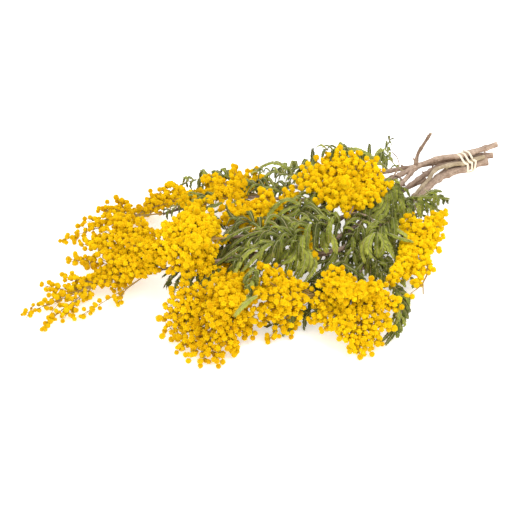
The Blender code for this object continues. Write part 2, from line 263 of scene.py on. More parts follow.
# Each stem's route from its cut end through the tie to its flowers, in millimetres,
# its radius at the cut end, its radius at the far end, and its material slot.
STEMS = {
    "stem_upper": (
        [
            (285, 20.5, 40.5), (272, 22, 39.5), (258, 24.5, 38.3), (240, 25, 38.3), (226, 30, 39.5),
            (214, 32, 41), (194, 31, 43), (173, 26, 46), (139, 16, 52), (108, 12, 56), (69, 15, 56),
            (32, 36, 52), (-1, 72, 46), (-30, 98, 40), (-66, 106, 38), (-95, 108, 38),
        ],
        3.1, 1.3, "bark",
    ),
    "stem_green": (
        [
            (266, 18, 32), (256, 17.5, 33.4), (240, 17.5, 33.6), (224, 20, 36), (198, 17, 40.5),
            (177, 3, 43.5), (152, -12, 46), (123, -29, 47), (106, -46, 46), (94, -62, 44),
        ],
        2.4, 1.5, "green_bark",
    ),
    "stem_dark": (
        [
            (268, 23, 31), (256, 24.5, 31.5), (240, 24.5, 31.5), (222, 27, 32.5), (205, 27, 34),
            (188, 18, 39.5), (168, 8, 45), (138, -6, 50), (84, -28, 56), (42, -43, 59), (-1, -52, 61),
            (-44, -56, 62), (-76, -60, 58), (-106, -64, 50),
        ],
        2.9, 1.3, "bark",
    ),
    "stem_thick": (
        [
            (270, 16, 25), (256, 20, 25), (240, 20, 25), (226, 21, 25), (204, 18, 26), (166, 0, 33.5),
            (118, -27, 43), (59, -48, 49), (18, -54, 49), (-33, -38, 53), (-77, -18, 55),
            (-118, 4, 48), (-153, 32, 36), (-188, 56, 24),
        ],
        4.4, 1.1, "bark",
    ),
    "stem_front": (
        [
            (281, 20, 27.5), (270, 26.5, 26), (256, 29.5, 26), (240, 29.5, 26), (222, 29, 23.5),
            (200, 24, 18.5), (170, 6, 19), (154, -6, 21), (97, -38, 29), (50, -70, 36), (12, -94, 41),
            (-20, -106, 44),
        ],
        3.3, 1.3, "bark",
    ),
    "stem_back": (
        [
            (262, 31, 34), (254, 31.5, 33.5), (240, 31.5, 33.5), (222, 36, 32), (200, 42, 31),
            (160, 49, 34), (120, 54, 36), (70, 72, 34), (30, 100, 29), (-20, 128, 23),
            (-62, 146, 18),
        ],
        2.8, 1.2, "bark",
    ),
}

# Side branches grown from a stem: the stem, its route, its radii at the start and end, and
# whether it was cut off there.
FORKS = [
    ("stem_upper", [(176, 27, 45), (150, 11, 47), (123, -1, 50), (86, -8, 53), (39, -21, 57),
                    (-6, -22, 60), (-45, -12, 68), (-78, 0, 70)], 2.6, 1.3, False),
    ("stem_upper", [(178, 28, 45), (181, 29, 60), (184, 24, 75), (190, 20, 90)], 1.9, 1.5, True),
    ("stem_thick", [(18, -54, 49), (8, -40, 38), (-14, -20, 28), (-40, 20, 22)], 2.0, 1.2, False),
    ("stem_upper", [(127, 9, 55), (135, 9, 62), (144, 13, 68), (147, 21, 73), (146, 30, 76)],
     0.8, 0.4, False),
    ("stem_upper", [(32, -19, 59), (43, -26, 65), (56, -32, 68), (66, -47, 66), (64, -66, 58),
                    (55, -79, 48)], 1.3, 0.8, False),
    ("stem_dark", [(148, 6, 44), (146, 14, 52), (134, 14, 58), (122, 6, 58)], 1.0, 0.6, False),
    ("stem_dark", [(180, 13, 37), (156, 6, 40), (133, 2, 46), (110, -10, 50)], 1.9, 1.2, False),
    ("stem_dark", [(37, -55, 56), (38, -44, 66), (43, -39, 74), (52, -34, 80)], 0.9, 0.6, False),
]

# Each panicle: its base on a stem, the tips of its branches, the reach of its racemes,
# how many racemes grow on a branch, and how ripe its heads are, from 0, lemon, to 1, amber.
# The ripeness is partly painted shade: panicles that lie less lit are set more amber, the most lit ones
# more lemon.
PANICLES = {
    "flowers_tip": (
        (-186, 54.5, 24.7),
        [(-224, 87, 22), (-279, 74, 5), (-271, 45, 5), (-248, 46, 5), (-244, 98, 10), (-214, 60, 12)],
        15, 6, 0.45,
    ),
    "flowers_thin_spray": ((-153, 32, 36), [(-236, 38, 7), (-190, 36, 8)], 9, 4, 0.4),
    "flowers_left_low": (
        (-140, 22, 40.7),
        [(-184, 90, 38), (-203, 116, 16), (-205, 78, 14), (-184, 52, 13), (-184, 62, 44)], 24, 7, 0.5,
    ),
    "flowers_left_middle": (
        (-118, 4, 48),
        [(-167, 106, 44), (-163, 57, 60), (-150, 121, 46), (-133, 90, 54), (-187, 114, 30),
         (-155, 29, 58), (-176, 46, 40)],
        24, 7, 0.45,
    ),
    "flowers_left_high": (
        (-92, 107.8, 38),
        [(-196, 146, 20), (-166, 146, 32), (-143, 158, 32), (-121, 158, 32), (-148, 98, 52)], 24, 6, 0.5,
    ),
    "flowers_dome_left": (
        (-76, -1, 69.8),
        [(-132, 44, 70), (-114, 44, 78), (-94, 24, 84), (-148, 14, 62), (-140, -14, 54), (-126, -14, 88)],
        24, 8, 0.2,
    ),
    "flowers_rear_sparse": (
        (6, 64, 47.2), [(-30, 128, 46), (-48, 112, 44), (4, 126, 50), (-10, 82, 60)], 16, 5, 0.45,
    ),
    "flowers_long_stalk": (
        (-40, 100, 39.5), [(-98, 134, 36), (-70, 132, 50), (-76, 98, 52)], 12, 4, 0.4,
    ),
    "flowers_inner_sparse": (
        (14, -21.7, 58.6), [(-42, 52, 66), (-60, 30, 70), (-6, 52, 68), (-22, 12, 78)], 14, 5, 0.4,
    ),
    "flowers_dome_upper": (
        (86, -8, 53),
        [(34, 42, 76), (58, 42, 88), (82, 34, 96), (108, 10, 88), (110, -12, 72), (80, -34, 78),
         (48, -22, 104), (26, -8, 84), (46, -32, 74)],
        22, 6, 0.15,
    ),
    "flowers_right": (
        (98, -56.5, 44.7),
        [(156, -54, 43), (112, -82, 60), (125, -89, 45), (94, -110, 44), (66, -102, 50), (66, -110, 30)],
        18, 6, 0.05,
    ),
    "flowers_front_hanging": (
        (-76, -60, 58),
        [(-153, -20, 46), (-166, -26, 20), (-136, -66, 76), (-152, -92, 54), (-170, -76, 6),
         (-150, -97, 6), (-106, -85, 14), (-168, -43, 8), (-128, -92, 72)],
        24, 8, 0.5,
    ),
    "flowers_front_sparse": (
        (-16, -104.6, 43.7),
        [(-72, -56, 66), (-96, -74, 58), (-84, -104, 60), (-88, -94, 6), (-66, -100, 8)], 18, 5, 0.35,
    ),
    "flowers_dome_front": (
        (12, -94, 41),
        [(-30, -100, 58), (-16, -100, 68), (-30, -138, 74), (12, -136, 60), (28, -148, 36),
         (0, -161, 12), (-24, -160, 5), (-38, -146, 26), (-46, -106, 24)],
        24, 8, 0.25,
    ),
    "flowers_back_tip": ((-60, 145, 18.3), [(-98, 165, 5), (-122, 156, 5), (-88, 148, 24)], 15, 5, 0.4),
    "flowers_back_left": ((-16, 125.9, 23.4), [(-26, 160, 5), (-52, 161, 5), (-4, 152, 22)], 16, 5, 0.4),
    "flowers_back_middle": ((34, 97, 29.4), [(26, 150, 5), (54, 146, 5), (12, 146, 22)], 16, 5, 0.4),
    "flowers_back_right": ((120, 54, 36), [(142, 106, 5), (120, 120, 5), (150, 84, 22)], 16, 5, 0.4),
    "flowers_under": ((-37, 15.7, 22.5), [(-92, 50, 5), (-70, 78, 5), (-104, 16, 8)], 16, 5, 0.45),
}

# Each leaf: its base on a stem, the middle and the tip of its main rib, the length of its
# pinnae, and how far they have closed and hang, from 0 to 1.
LEAVES = {
    "leaf_centre_left": ((-14, -52.9, 61.2), (-30, -36, 76), (-62, -14, 70), 40, 0.6),
    "leaf_centre": ((30, -46.2, 59.6), (18, -36, 74), (-20, -22, 78), 38, 0.6),
    "leaf_shaded": ((-44, -12.3, 67.7), (-62, -22, 66), (-88, -26, 60), 26, 0.5),
    "leaf_centre_right": ((70, -33, 57), (56, -46, 68), (34, -58, 62), 32, 0.6),
    "leaf_low_middle": ((59, -48, 49), (44, -68, 42), (10, -76, 34), 30, 0.4),
    "leaf_rear_arch": ((50, 24.9, 54.2), (40, 56, 66), (12, 96, 60), 22, 0.6),
    "leaf_behind_dome": ((110, 12.2, 56), (100, 34, 83), (70, 46, 97), 26, 0.5),
    "leaf_rear_low": ((30, 38.2, 51.6), (14, 66, 56), (-8, 84, 58), 26, 0.6),
    "leaf_front_long": ((54, -67.3, 35.5), (53, -110, 40), (28, -148, 16), 16, 0.6),
    "leaf_front_dark": ((14, -92.6, 40.8), (-4, -84, 30), (-44, -82, 18), 22, 0.4),
    "leaf_front_low": ((-19, -105.6, 44), (-34, -96, 20), (-80, -76, 8), 20, 0.4),
    "leaf_by_stems": ((146, -14.5, 46.2), (154, -30, 40), (172, -26, 20), 17, 0.6),
    "leaf_under_stems": ((154, -6, 21), (140, -34, 16), (104, -66, 10), 30, 0.4),
    "leaf_long_stalk": ((-20, 89.3, 42), (-50, 98, 48), (-92, 104, 44), 20, 0.8),
    "leaf_upper_right": ((139, 16, 52), (112, -12, 64), (70, -30, 66), 30, 0.6),
    "leaf_under_dome": ((-98, -7, 51.8), (-116, -20, 41), (-146, -16, 21), 20, 0.5),
    "leaf_single": ((-76, -60, 58), (-90, -66, 72), (-110, -88, 66), 16, 1.0),
    "leaf_curled": ((160, 22.2, 48.3), (150, 40, 62), (156, 48, 78), 11, 0.6),
    "leaf_right_low": ((123, -29, 47), (108, -70, 34), (84, -96, 12), 22, 0.4),
    "leaf_back_right": ((158, 49.3, 34.1), (160, 86, 28), (140, 130, 8), 30, 0.3),
    "leaf_back_middle": ((90, 64.8, 34.8), (96, 104, 26), (82, 146, 8), 32, 0.3),
    "leaf_back_left": ((0, 116.8, 25.4), (-4, 138, 34), (-40, 160, 26), 26, 0.5),
    "leaf_inner": ((108, 12, 56), (84, 30, 48), (44, 44, 36), 28, 0.4),
}

# Leaves with narrower leaflets, as a share of the usual width and length
NARROW_LEAVES = {"leaf_rear_arch": 0.6, "leaf_rear_low": 0.8, "leaf_long_stalk": 0.65, "leaf_curled": 0.6,
                 "leaf_behind_dome": 0.75}

# Leaves painted darker for the shade of the ones above, as a share of the usual tone
SHADE_PAINTED_LEAVES = {"leaf_shaded": 0.35, "leaf_under_dome": 0.4, "leaf_front_dark": 0.4, "leaf_low_middle": 0.7,
              "leaf_rear_low": 0.7, "leaf_inner": 0.5}

# Leaves that grow beside another one, which are part of that one's piece.
NEIGHBOURS = [
    ("leaf_centre_left", (-14, -53, 61), (-33, -49, 80), (-59, -44, 80), 38, 0.9),
    ("leaf_centre", (13, -50, 62), (-4, -47, 82), (-34, -61, 84), 36, 0.9),
    ("leaf_centre", (29, -47, 60), (22, -45, 76), (1, -52, 78), 30, 0.7),
    ("leaf_rear_low", (54, 12, 58), (36, 13, 70), (7, 6, 74), 34, 0.9),
    ("leaf_rear_low", (33, -1, 55), (10, 2, 66), (-28, 2, 68), 30, 0.6),
    ("leaf_shaded", (-42, -10, 66), (-48, 8, 72), (-64, 10, 70), 30, 0.8),
    ("leaf_shaded", (-60, -11, 60), (-67, 8, 50), (-90, 10, 45), 24, 0.4),
    ("leaf_centre_right", (93, -53, 55), (74, -65, 70), (53, -76, 74), 34, 0.95),
    ("leaf_centre_right", (79, -36, 50), (50, -54, 56), (27, -70, 50), 28, 0.5),
    ("leaf_low_middle", (57, -52, 45), (48, -82, 45), (47, -101, 36), 26, 0.5),
    ("leaf_low_middle", (36, -54, 42), (13, -60, 40), (-8, -67, 30), 26, 0.5),
    ("leaf_low_middle", (58, -47, 48), (42, -33, 40), (18, -35, 30), 26, 0.5),
    ("leaf_inner", (106, 8, 54), (87, -6, 50), (68, -6, 44), 28, 0.4),
    ("leaf_inner", (79, 29, 45), (59, 28, 40), (38, 35, 30), 30, 0.4),
    ("leaf_upper_right", (145, 11, 50), (113, -24, 58), (87, -43, 54), 28, 0.8),
    ("leaf_by_stems", (161, -13, 46), (162, -30, 48), (175, -34, 40), 12, 0.95),
    ("leaf_by_stems", (153, -16, 44), (130, -32, 50), (107, -42, 52), 24, 0.6),
    ("leaf_long_stalk", (-1, 88, 42), (-32, 96, 46), (-60, 106, 40), 14, 0.95),
    ("leaf_front_long", (42, -118, 36), (38, -144, 36), (22, -158, 12), 18, 0.7),
    ("leaf_front_dark", (10, -74, 40), (-8, -73, 34), (-47, -76, 26), 24, 0.5),
    ("leaf_front_low", (-49, -89, 36), (-61, -92, 24), (-67, -90, 8), 20, 0.5),
    ("leaf_under_dome", (-116, -4, 46), (-127, -2, 36), (-140, 16, 24), 18, 0.6),
    ("leaf_under_stems", (124, -30, 24), (98, -49, 20), (61, -64, 12), 28, 0.4),
    ("leaf_back_middle", (56, 72, 34), (32, 86, 34), (-9, 92, 26), 28, 0.5),
]

# Long pinnae that have curled into straps on some leaves: each one's start, middle and tip.
STRAPS = {
    "leaf_centre_left": [
        ((-59, -40, 76), (-76, -31, 70), (-95, -37, 54)),
        ((-61, -40, 75), (-75, -39, 66), (-87, -35, 52)),
        ((-59, -42, 73), (-69, -41, 63), (-78, -34, 50)),
        ((-54, -40, 74), (-61, -43, 62), (-73, -39, 50)),
        ((-35, -51, 78), (-52, -46, 74), (-68, -41, 52)),
        ((-33, -56, 77), (-42, -62, 70), (-53, -54, 62)),
        ((-43, -15, 80), (-52, -21, 76), (-54, -28, 68)),
        ((-58, -12, 66), (-68, -12, 62), (-75, -16, 52)),
        ((-44, -47, 70), (-49, -47, 62), (-58, -43, 50)),
        ((-42, -48, 74), (-56, -47, 68), (-68, -46, 54)),
        ((-60, -35, 74), (-72, -22, 68), (-84, -23, 56)),
        ((-37, -50, 72), (-46, -51, 66), (-56, -46, 54)), ((-52, -14, 70), (-62, -10, 66), (-71, -5, 54)),
    ],
    "leaf_centre": [
        ((-32, -56, 78), (-32, -71, 70), (-45, -74, 50)),
        ((-33, -57, 76), (-38, -67, 66), (-43, -66, 48)),
        ((-40, -50, 72), (-43, -58, 62), (-50, -60, 48)),
        ((-21, -52, 74), (-21, -72, 62), (-36, -76, 46)),
        ((-37, -23, 80), (-41, -30, 76), (-36, -38, 70)),
        ((-30, -31, 80), (-32, -38, 75), (-26, -46, 70)),
        ((-42, -20, 80), (-48, -26, 75), (-44, -33, 66)),
        ((-20, -36, 78), (-22, -43, 74), (-15, -48, 68)),
        ((-30, -55, 78), (-26, -69, 72), (-30, -73, 56)),
        ((-28, -56, 70), (-30, -63, 60), (-36, -69, 48)),
        ((-34, -52, 70), (-38, -58, 60), (-45, -60, 46)),
        ((-20, -54, 70), (-23, -67, 62), (-23, -70, 46)),
        ((-25, -40, 76), (-21, -48, 72), (-13, -55, 60)),
        ((-39, -36, 74), (-42, -44, 68), (-48, -46, 56)),
    ],
    "leaf_rear_low": [
        ((1, -10, 86), (-7, 6, 86), (-27, 5, 76)), ((2, -9, 84), (-6, -3, 82), (-18, 0, 76)),
        ((1, -9, 82), (-5, -9, 78), (-11, -3, 72)), ((-40, -7, 76), (-26, -2, 80), (-18, -12, 72)),
        ((0, -18, 70), (-11, -11, 72), (-25, -6, 66)), ((17, -6, 66), (18, -15, 66), (17, -21, 56)),
        ((29, -11, 64), (17, -14, 58), (10, -14, 50)),
    ],
    "leaf_shaded": [
        ((-54, 10, 66), (-64, 17, 68), (-78, 16, 56)), ((-57, 14, 54), (-57, -3, 52), (-60, -14, 42)),
        ((-52, 9, 50), (-63, 12, 50), (-76, 11, 40)), ((-63, 13, 44), (-74, 5, 38), (-78, -5, 28)),
        ((-47, 24, 62), (-53, 32, 62), (-63, 35, 56)), ((-61, -12, 44), (-72, -10, 42), (-86, -14, 32)),
        ((-71, 26, 52), (-76, 34, 54), (-74, 55, 50)), ((-65, 28, 56), (-65, 41, 58), (-62, 62, 54)),
        ((-77, -4, 40), (-86, 2, 40), (-95, 3, 30)), ((-70, -8, 40), (-79, -14, 34), (-79, -22, 24)),
        ((-60, 13, 74), (-73, 10, 68), (-86, 13, 56)), ((-53, 0, 72), (-66, -2, 68), (-78, 0, 56)),
        ((-73, -8, 62), (-84, -5, 54), (-98, -2, 42)), ((-68, -16, 60), (-79, -14, 50), (-90, -13, 38)),
        ((-57, -10, 82), (-71, -5, 78), (-88, 3, 66)), ((-51, -20, 80), (-65, -13, 76), (-79, -7, 64)),
        ((-78, -21, 72), (-92, -19, 65), (-104, -10, 50)),
        ((-71, -28, 70), (-85, -27, 61), (-96, -21, 46)),
    ],
    "leaf_centre_right": [
        ((10, -54, 76), (10, -61, 70), (8, -68, 60)), ((6, -50, 76), (1, -55, 70), (1, -62, 60)),
        ((-6, -45, 74), (-9, -52, 68), (-2, -56, 60)), ((11, -62, 60), (3, -68, 54), (-7, -65, 44)),
        ((49, -79, 76), (34, -80, 70), (29, -90, 54)), ((47, -79, 77), (34, -88, 69), (39, -93, 56)),
        ((50, -81, 77), (50, -92, 70), (44, -93, 57)), ((56, -79, 75), (55, -92, 67), (59, -101, 53)),
        ((50, -79, 72), (45, -88, 66), (42, -91, 56)), ((61, -78, 72), (71, -86, 67), (85, -94, 60)),
        ((64, -72, 72), (75, -79, 70), (83, -87, 63)),
    ],
    "leaf_upper_right": [
        ((101, -24, 68), (81, -38, 63), (58, -35, 55)), ((100, -29, 66), (86, -40, 60), (64, -41, 50)),
        ((100, -22, 72), (80, -33, 67), (58, -24, 60)), ((87, -33, 66), (69, -30, 63), (51, -16, 56)),
        ((101, -32, 62), (97, -42, 57), (85, -45, 48)),
    ],
    "leaf_by_stems": [
        ((125, -20, 52), (151, -27, 50), (174, -39, 46)),
        ((150, -26, 50), (162, -26, 52), (171, -28, 50)),
        ((149, -28, 49), (156, -33, 45), (158, -39, 39)),
        ((139, -23, 50), (144, -28, 47), (146, -33, 40)),
        ((122, -29, 56), (123, -40, 56), (116, -49, 46)),
        ((118, -30, 56), (113, -41, 54), (107, -46, 45)), ((114, -30, 56), (104, -37, 54), (99, -43, 44)),
    ],
    "leaf_low_middle": [
        ((15, -75, 50), (2, -72, 50), (-13, -72, 42)), ((28, -64, 52), (15, -73, 48), (6, -76, 38)),
        ((11, -71, 48), (17, -86, 46), (28, -94, 34)), ((31, -87, 50), (23, -87, 46), (13, -91, 34)),
        ((39, -88, 50), (41, -97, 44), (42, -103, 32)), ((37, -56, 52), (34, -69, 50), (38, -79, 42)),
        ((0, -70, 44), (-11, -65, 40), (-24, -62, 28)), ((0, -61, 46), (-10, -56, 44), (-23, -52, 34)),
        ((3, -76, 42), (-7, -77, 36), (-18, -75, 24)), ((-1, -56, 48), (-8, -48, 46), (-18, -42, 38)),
        ((-5, -52, 42), (-17, -43, 38), (-29, -36, 28)), ((-6, -46, 46), (-16, -34, 42), (-28, -26, 34)),
    ],
    "leaf_front_dark": [
        ((-12, -72, 40), (-24, -77, 34), (-19, -84, 20)),
        ((-17, -74, 38), (-31, -76, 32), (-36, -70, 20)), ((-25, -74, 38), (-18, -82, 36), (-9, -88, 26)),
        ((-29, -69, 40), (-34, -74, 30), (-27, -78, 14)),
    ],
    "leaf_single": [
        ((-107, -101, 76), (-122, -104, 76), (-137, -107, 68)),
    ],
    "leaf_front_long": [
        ((51, -119, 32), (42, -146, 26), (5, -164, 8)), ((46, -120, 32), (34, -149, 26), (4, -158, 8)),
        ((48, -116, 34), (47, -136, 30), (37, -149, 12)),
    ],
    "leaf_rear_arch": [
        ((42, 67, 66), (34, 91, 68), (15, 96, 60)), ((38, 70, 62), (29, 86, 62), (13, 82, 52)),
        ((60, 45, 80), (48, 50, 78), (37, 46, 66)),
    ],
    "leaf_behind_dome": [
        ((114, 17, 86), (101, 37, 92), (83, 41, 86)), ((101, 34, 90), (94, 42, 88), (79, 42, 80)),
    ],
    "leaf_long_stalk": [
        ((-39, 79, 50), (-52, 79, 50), (-61, 89, 42)), ((-26, 72, 52), (-41, 69, 52), (-50, 78, 42)),
        ((-17, 35, 56), (-27, 38, 58), (-40, 42, 50)), ((-17, 55, 54), (-31, 56, 56), (-43, 60, 48)),
    ],
    "leaf_under_dome": [
        ((-111, 4, 44), (-124, 7, 42), (-135, 12, 30)), ((-117, 2, 42), (-125, 1, 36), (-131, 7, 24)),
        ((-120, 10, 46), (-134, 17, 42), (-144, 25, 30)), ((-105, 2, 40), (-112, -5, 34), (-119, -1, 24)),
        ((-126, 15, 40), (-138, 16, 34), (-146, 19, 22)),
    ],
}

# Tips of smaller branches, which the plain solids leave out.
SMALL_BRANCHES = {
    "flowers_dome_left": [
        (-117, -17, 46), (-133, -6, 52), (-84, 4, 66), (-137, 40, 58), (-70, 51, 64), (-72, 37, 58),
        (-80, 77, 62),
    ],
    "flowers_rear_sparse": [
        (-25, 132, 44), (-34, 100, 46), (16, 103, 54), (-4, 107, 46), (-43, 94, 50), (-57, 91, 46),
        (-19, 76, 52),
    ],
    "flowers_inner_sparse": [
        (-25, 35, 64), (-50, 45, 60), (-54, -2, 68), (26, 34, 62), (-12, -45, 74), (-15, -64, 62),
        (-52, 54, 60), (-38, 52, 60), (-51, 12, 66), (-20, 42, 62), (3, 62, 58), (24, 43, 64),
        (-19, -63, 68), (-14, -41, 76), (-70, 41, 60), (-57, 30, 62),
    ],
    "flowers_long_stalk": [(-65, 128, 46), (-64, 82, 50), (-83, 136, 40)],
    "flowers_front_hanging": [
        (-103, -13, 44), (-76, -17, 48), (-123, -86, 66), (-101, -77, 50), (-122, -88, 44),
    ],
    "flowers_under": [
        (-105, 35, 26), (-63, 19, 24), (-77, 5, 34), (-80, 21, 34), (-63, 22, 42), (-78, -5, 20),
        (-87, 20, 28),
    ],
    "flowers_left_middle": [
        (-153, 34, 46), (-182, 115, 34), (-163, 78, 50), (-148, 63, 54), (-175, 80, 38), (-145, 48, 56),
        (-165, 54, 46), (-147, 97, 50),
    ],
    "flowers_front_sparse": [
        (-72, -58, 66), (-86, -61, 64), (-79, -80, 66), (-56, -73, 58), (-103, -62, 60),
        (-102, -45, 56), (-104, -83, 66), (-95, -83, 42), (-93, -91, 28), (-113, -93, 44),
        (-82, -96, 40),
    ],
    "flowers_right": [
        (42, -119, 50), (54, -114, 52), (35, -123, 46), (61, -137, 44), (81, -128, 46), (99, -62, 54),
        (86, -87, 56), (71, -96, 54), (119, -49, 50),
    ],
    "flowers_left_low": [
        (-172, 46, 46), (-155, 38, 50), (-147, 23, 46), (-166, 31, 38), (-184, 47, 32), (-202, 58, 22),
        (-139, 38, 56), (-187, 62, 34),
    ],
    "flowers_tip": [(-249, 77, 9), (-230, 76, 12), (-209, 77, 16), (-190, 75, 20), (-178, 71, 24)],
    "flowers_left_high": [(-70, 137, 46), (-71, 114, 46), (-85, 133, 40)],
}

# Panicles whose branches stand close enough to fill the space between them with more
BUSHY = ("flowers_dome_left", "flowers_dome_upper", "flowers_front_hanging", "flowers_dome_front",
         "flowers_right")

# Panicles with wider gaps between their heads
GAPPY = ("flowers_front_sparse", "flowers_left_high", "flowers_rear_sparse", "flowers_inner_sparse")

# How large a panicle's heads are, where they aren't of the usual size
HEAD_SIZES = {
    "flowers_tip": 0.9,
    "flowers_thin_spray": 0.88,
    "flowers_left_low": 0.92,
    "flowers_left_middle": 0.92,
    "flowers_left_high": 0.9,
    "flowers_dome_upper": 1.06,
    "flowers_dome_left": 1.04,
}

# Loose twigs: the panicle, the route, the radii at the start and end, and the share of its
# length that bears no heads.
LOOSE_TWIGS = [
    ("flowers_tip", [(-262, 79, 12), (-275, 71, 8), (-286, 62, 5), (-291, 61, 4)], 0.4, 0.22, 1.0),
    ("flowers_tip", [(-246, 62, 12), (-260, 55, 8), (-270, 44, 5)], 0.4, 0.25, 0.9),
    ("flowers_front_hanging", [(-152, -30, 34), (-166, -32, 30), (-174, -31, 29)], 0.3, 0.2, 0.96),
    ("flowers_front_hanging", [(-160, -36, 26), (-172, -41, 21), (-179, -43, 19)], 0.3, 0.2, 0.96),
    ("flowers_long_stalk", [(-70, 118, 48), (-69, 128, 50), (-68, 134, 50)], 0.3, 0.2, 0.96),
    ("flowers_right", [(94, -110, 46), (85, -122, 47), (76, -133, 46), (66, -140, 44)], 1.0, 0.8, 1.0),
    ("flowers_right", [(66, -140, 44), (58, -143, 43), (48, -144, 41)], 0.8, 0.5, 0.8),
    ("flowers_right", [(66, -140, 44), (62, -146, 43), (58, -152, 41)], 0.7, 0.5, 1.0),
]

# How dark each stem's bark is, from 0 to 1.
STEM_TONES = {
    "stem_upper": 0.1,
    "stem_green": 0.0,
    "stem_dark": 0.85,
    "stem_thick": 0.25,
    "stem_front": 0.3,
    "stem_back": 0.5,
}

# Bark colours: worn patches, body, streaks, and what cracks multiply it by
BARK_SHADES = (
    (0.68, 0.52, 0.39, 1.0), (0.43, 0.29, 0.20, 1.0), (0.21, 0.13, 0.085, 1.0), (0.38, 0.31, 0.26, 1.0),
)
GREEN_BARK_SHADES = (
    (0.56, 0.46, 0.30, 1.0), (0.38, 0.29, 0.16, 1.0), (0.24, 0.17, 0.09, 1.0), (0.45, 0.38, 0.28, 1.0),
)

# Paint that holds a place at each point, where other paint holds one number
VECTOR_PAINTS = ("grain",)

# Where patches start in the noise, how soft their edges are, and the slope from which bloom settles
PATCH_LEVEL = 0.72
PATCH_EDGE = 0.3
BLOOM_START = -0.3

# The floor's width and glow, and the strength of the daylight from all round
FLOOR_SIDE = 8.0
FLOOR_GLOW = 0.5
DAYLIGHT = 0.85

# Soft lights: name, place, width, watts and colour
SOFT_LIGHTS = (
    ("key", (0.2, -0.9, 1.5), 1.0, 14.0, (1.0, 0.99, 0.97)),
    ("fill", (-1.1, -0.6, 1.0), 1.2, 7.0, (1.0, 1.0, 1.0)),
    ("back", (0.2, 1.2, 1.2), 1.0, 7.0, (1.0, 1.0, 1.0)),
)


def metres(places):
    """A place, or a list of places, given in millimetres."""
    return np.array(places, float) * MM


def unit(vectors):
    lengths = np.linalg.norm(vectors, axis=-1, keepdims=True)
    return vectors / np.maximum(lengths, 1e-12)


def angles_round(count):
    return 2 * math.pi * np.arange(count) / count


def at_distance(route, run, distance):
    """The places on a route at one distance or more along it."""
    return np.stack([np.interp(distance, run, route[:, axis]) for axis in range(3)], axis=-1)


def search_tree(places):
    tree = kdtree.KDTree(len(places))
    for i, place in enumerate(places):
        tree.insert(place, i)
    tree.balance()
    return tree


def put_in_scene(name, data):
    placed = bpy.data.objects.new(name, data)
    bpy.context.scene.collection.objects.link(placed)
    return placed


def curve_through(places, step):
    """Points about one step apart on a Catmull-Rom curve through the places."""
    ends = [2 * places[0] - places[1], *places, 2 * places[-1] - places[-2]]
    found = []
    for a, b, c, d in zip(ends, ends[1:], ends[2:], ends[3:]):
        count = max(1, round(np.linalg.norm(c - b) / step))
        t = (np.arange(count) / count)[:, None]
        found.append(
            0.5 * (2 * b + (c - a) * t + (2 * a - 5 * b + 4 * c - d) * t**2
                   + (3 * b - a - 3 * c + d) * t**3)
        )
    return np.concatenate([*found, [places[-1]]])


def arc(start, control, end, t):
    """Points of the quadratic curve that leaves start towards control and ends at end."""
    t = np.asarray(t, float)[..., None]
    return (1 - t) ** 2 * start + 2 * t * (1 - t) * control + t**2 * end


def arc_heading(start, control, end, t):
    return unit((1 - t) * (control - start) + t * (end - control))


def above_floor(route, height):
    """The same route, lifted where it would come nearer to the floor than this height."""
    lifted = np.array(route)
    lifted[:, 2] = np.maximum(lifted[:, 2], height)
    return lifted


def distance_along(route):
    steps = np.linalg.norm(np.diff(route, axis=0), axis=1)
    return np.concatenate([[0.0], np.cumsum(steps)])


class Shape:
    """The points and triangles of one piece, a finish for each triangle and paint for each point."""

    def __init__(self, *paints):
        self.points = []
        self.faces = []
        self.finishes = []
        self.paint = {name: [] for name in paints}
        self.count = 0

    def add(self, points, faces, finish=0, **paint):
        self.points.append(points)
        self.faces.append(faces + self.count)
        self.finishes.append(np.broadcast_to(finish, len(faces)))
        for name, values in self.paint.items():
            width = (3,) if name in VECTOR_PAINTS else ()
            values.append(np.broadcast_to(paint.get(name, 0.0), (len(points), *width)))
        self.count += len(points)

    def as_piece(self, name, materials, node, sharp=None, smooth=True):
        """The finished piece, riding on the bunch and standing for its CAD node."""
        points = np.concatenate(self.points)
        faces = np.concatenate(self.faces)
        mesh = bpy.data.meshes.new(name)
        mesh.vertices.add(len(points))
        mesh.vertices.foreach_set("co", points.astype(np.float32).ravel())
        mesh.loops.add(3 * len(faces))
        mesh.loops.foreach_set("vertex_index", faces.astype(np.int32).ravel())
        mesh.polygons.add(len(faces))
        mesh.polygons.foreach_set("loop_start", np.arange(0, 3 * len(faces), 3, dtype=np.int32))
        mesh.polygons.foreach_set("material_index", np.concatenate(self.finishes).astype(np.int32))
        mesh.update(calc_edges=True)
        for paint, values in self.paint.items():
            vector = paint in VECTOR_PAINTS
            layer = mesh.attributes.new(paint, "FLOAT_VECTOR" if vector else "FLOAT", "POINT")
            layer.data.foreach_set("vector" if vector else "value",
                                   np.concatenate(values).astype(np.float32).ravel())
        if smooth:
            mesh.shade_smooth()
        else:
            mesh.shade_flat()
        if sharp is not None:
            mesh.set_sharp_from_angle(angle=sharp)
        for material in materials:
            mesh.materials.append(material)
        piece = put_in_scene(name, mesh)
        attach(piece, "root")
        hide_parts(node)


def rings_round(route, sides):
    """The directions of each ring's points round a route, square to it."""
    along = unit(np.gradient(route, axis=0))
    aside = np.eye(3)[np.argmin(np.abs(along).sum(axis=0))]
    first = unit(np.cross(along, aside))
    second = np.cross(along, first)
    angle = angles_round(sides)
    return np.cos(angle)[:, None] * first[:, None] + np.sin(angle)[:, None] * second[:, None]


def ring_faces(rings, sides, closed=False):
    """Triangles that join each ring to the next."""
    ring = np.arange(rings if closed else rings - 1)[:, None]
    side = np.arange(sides)
    after = (side + 1) % sides
    here = ring * sides
    there = (ring + 1) % rings * sides
    a, b, c, d = here + side, here + after, there + after, there + side
    return np.concatenate([np.stack([a, b, c], axis=-1).reshape(-1, 3),
                           np.stack([a, c, d], axis=-1).reshape(-1, 3)])


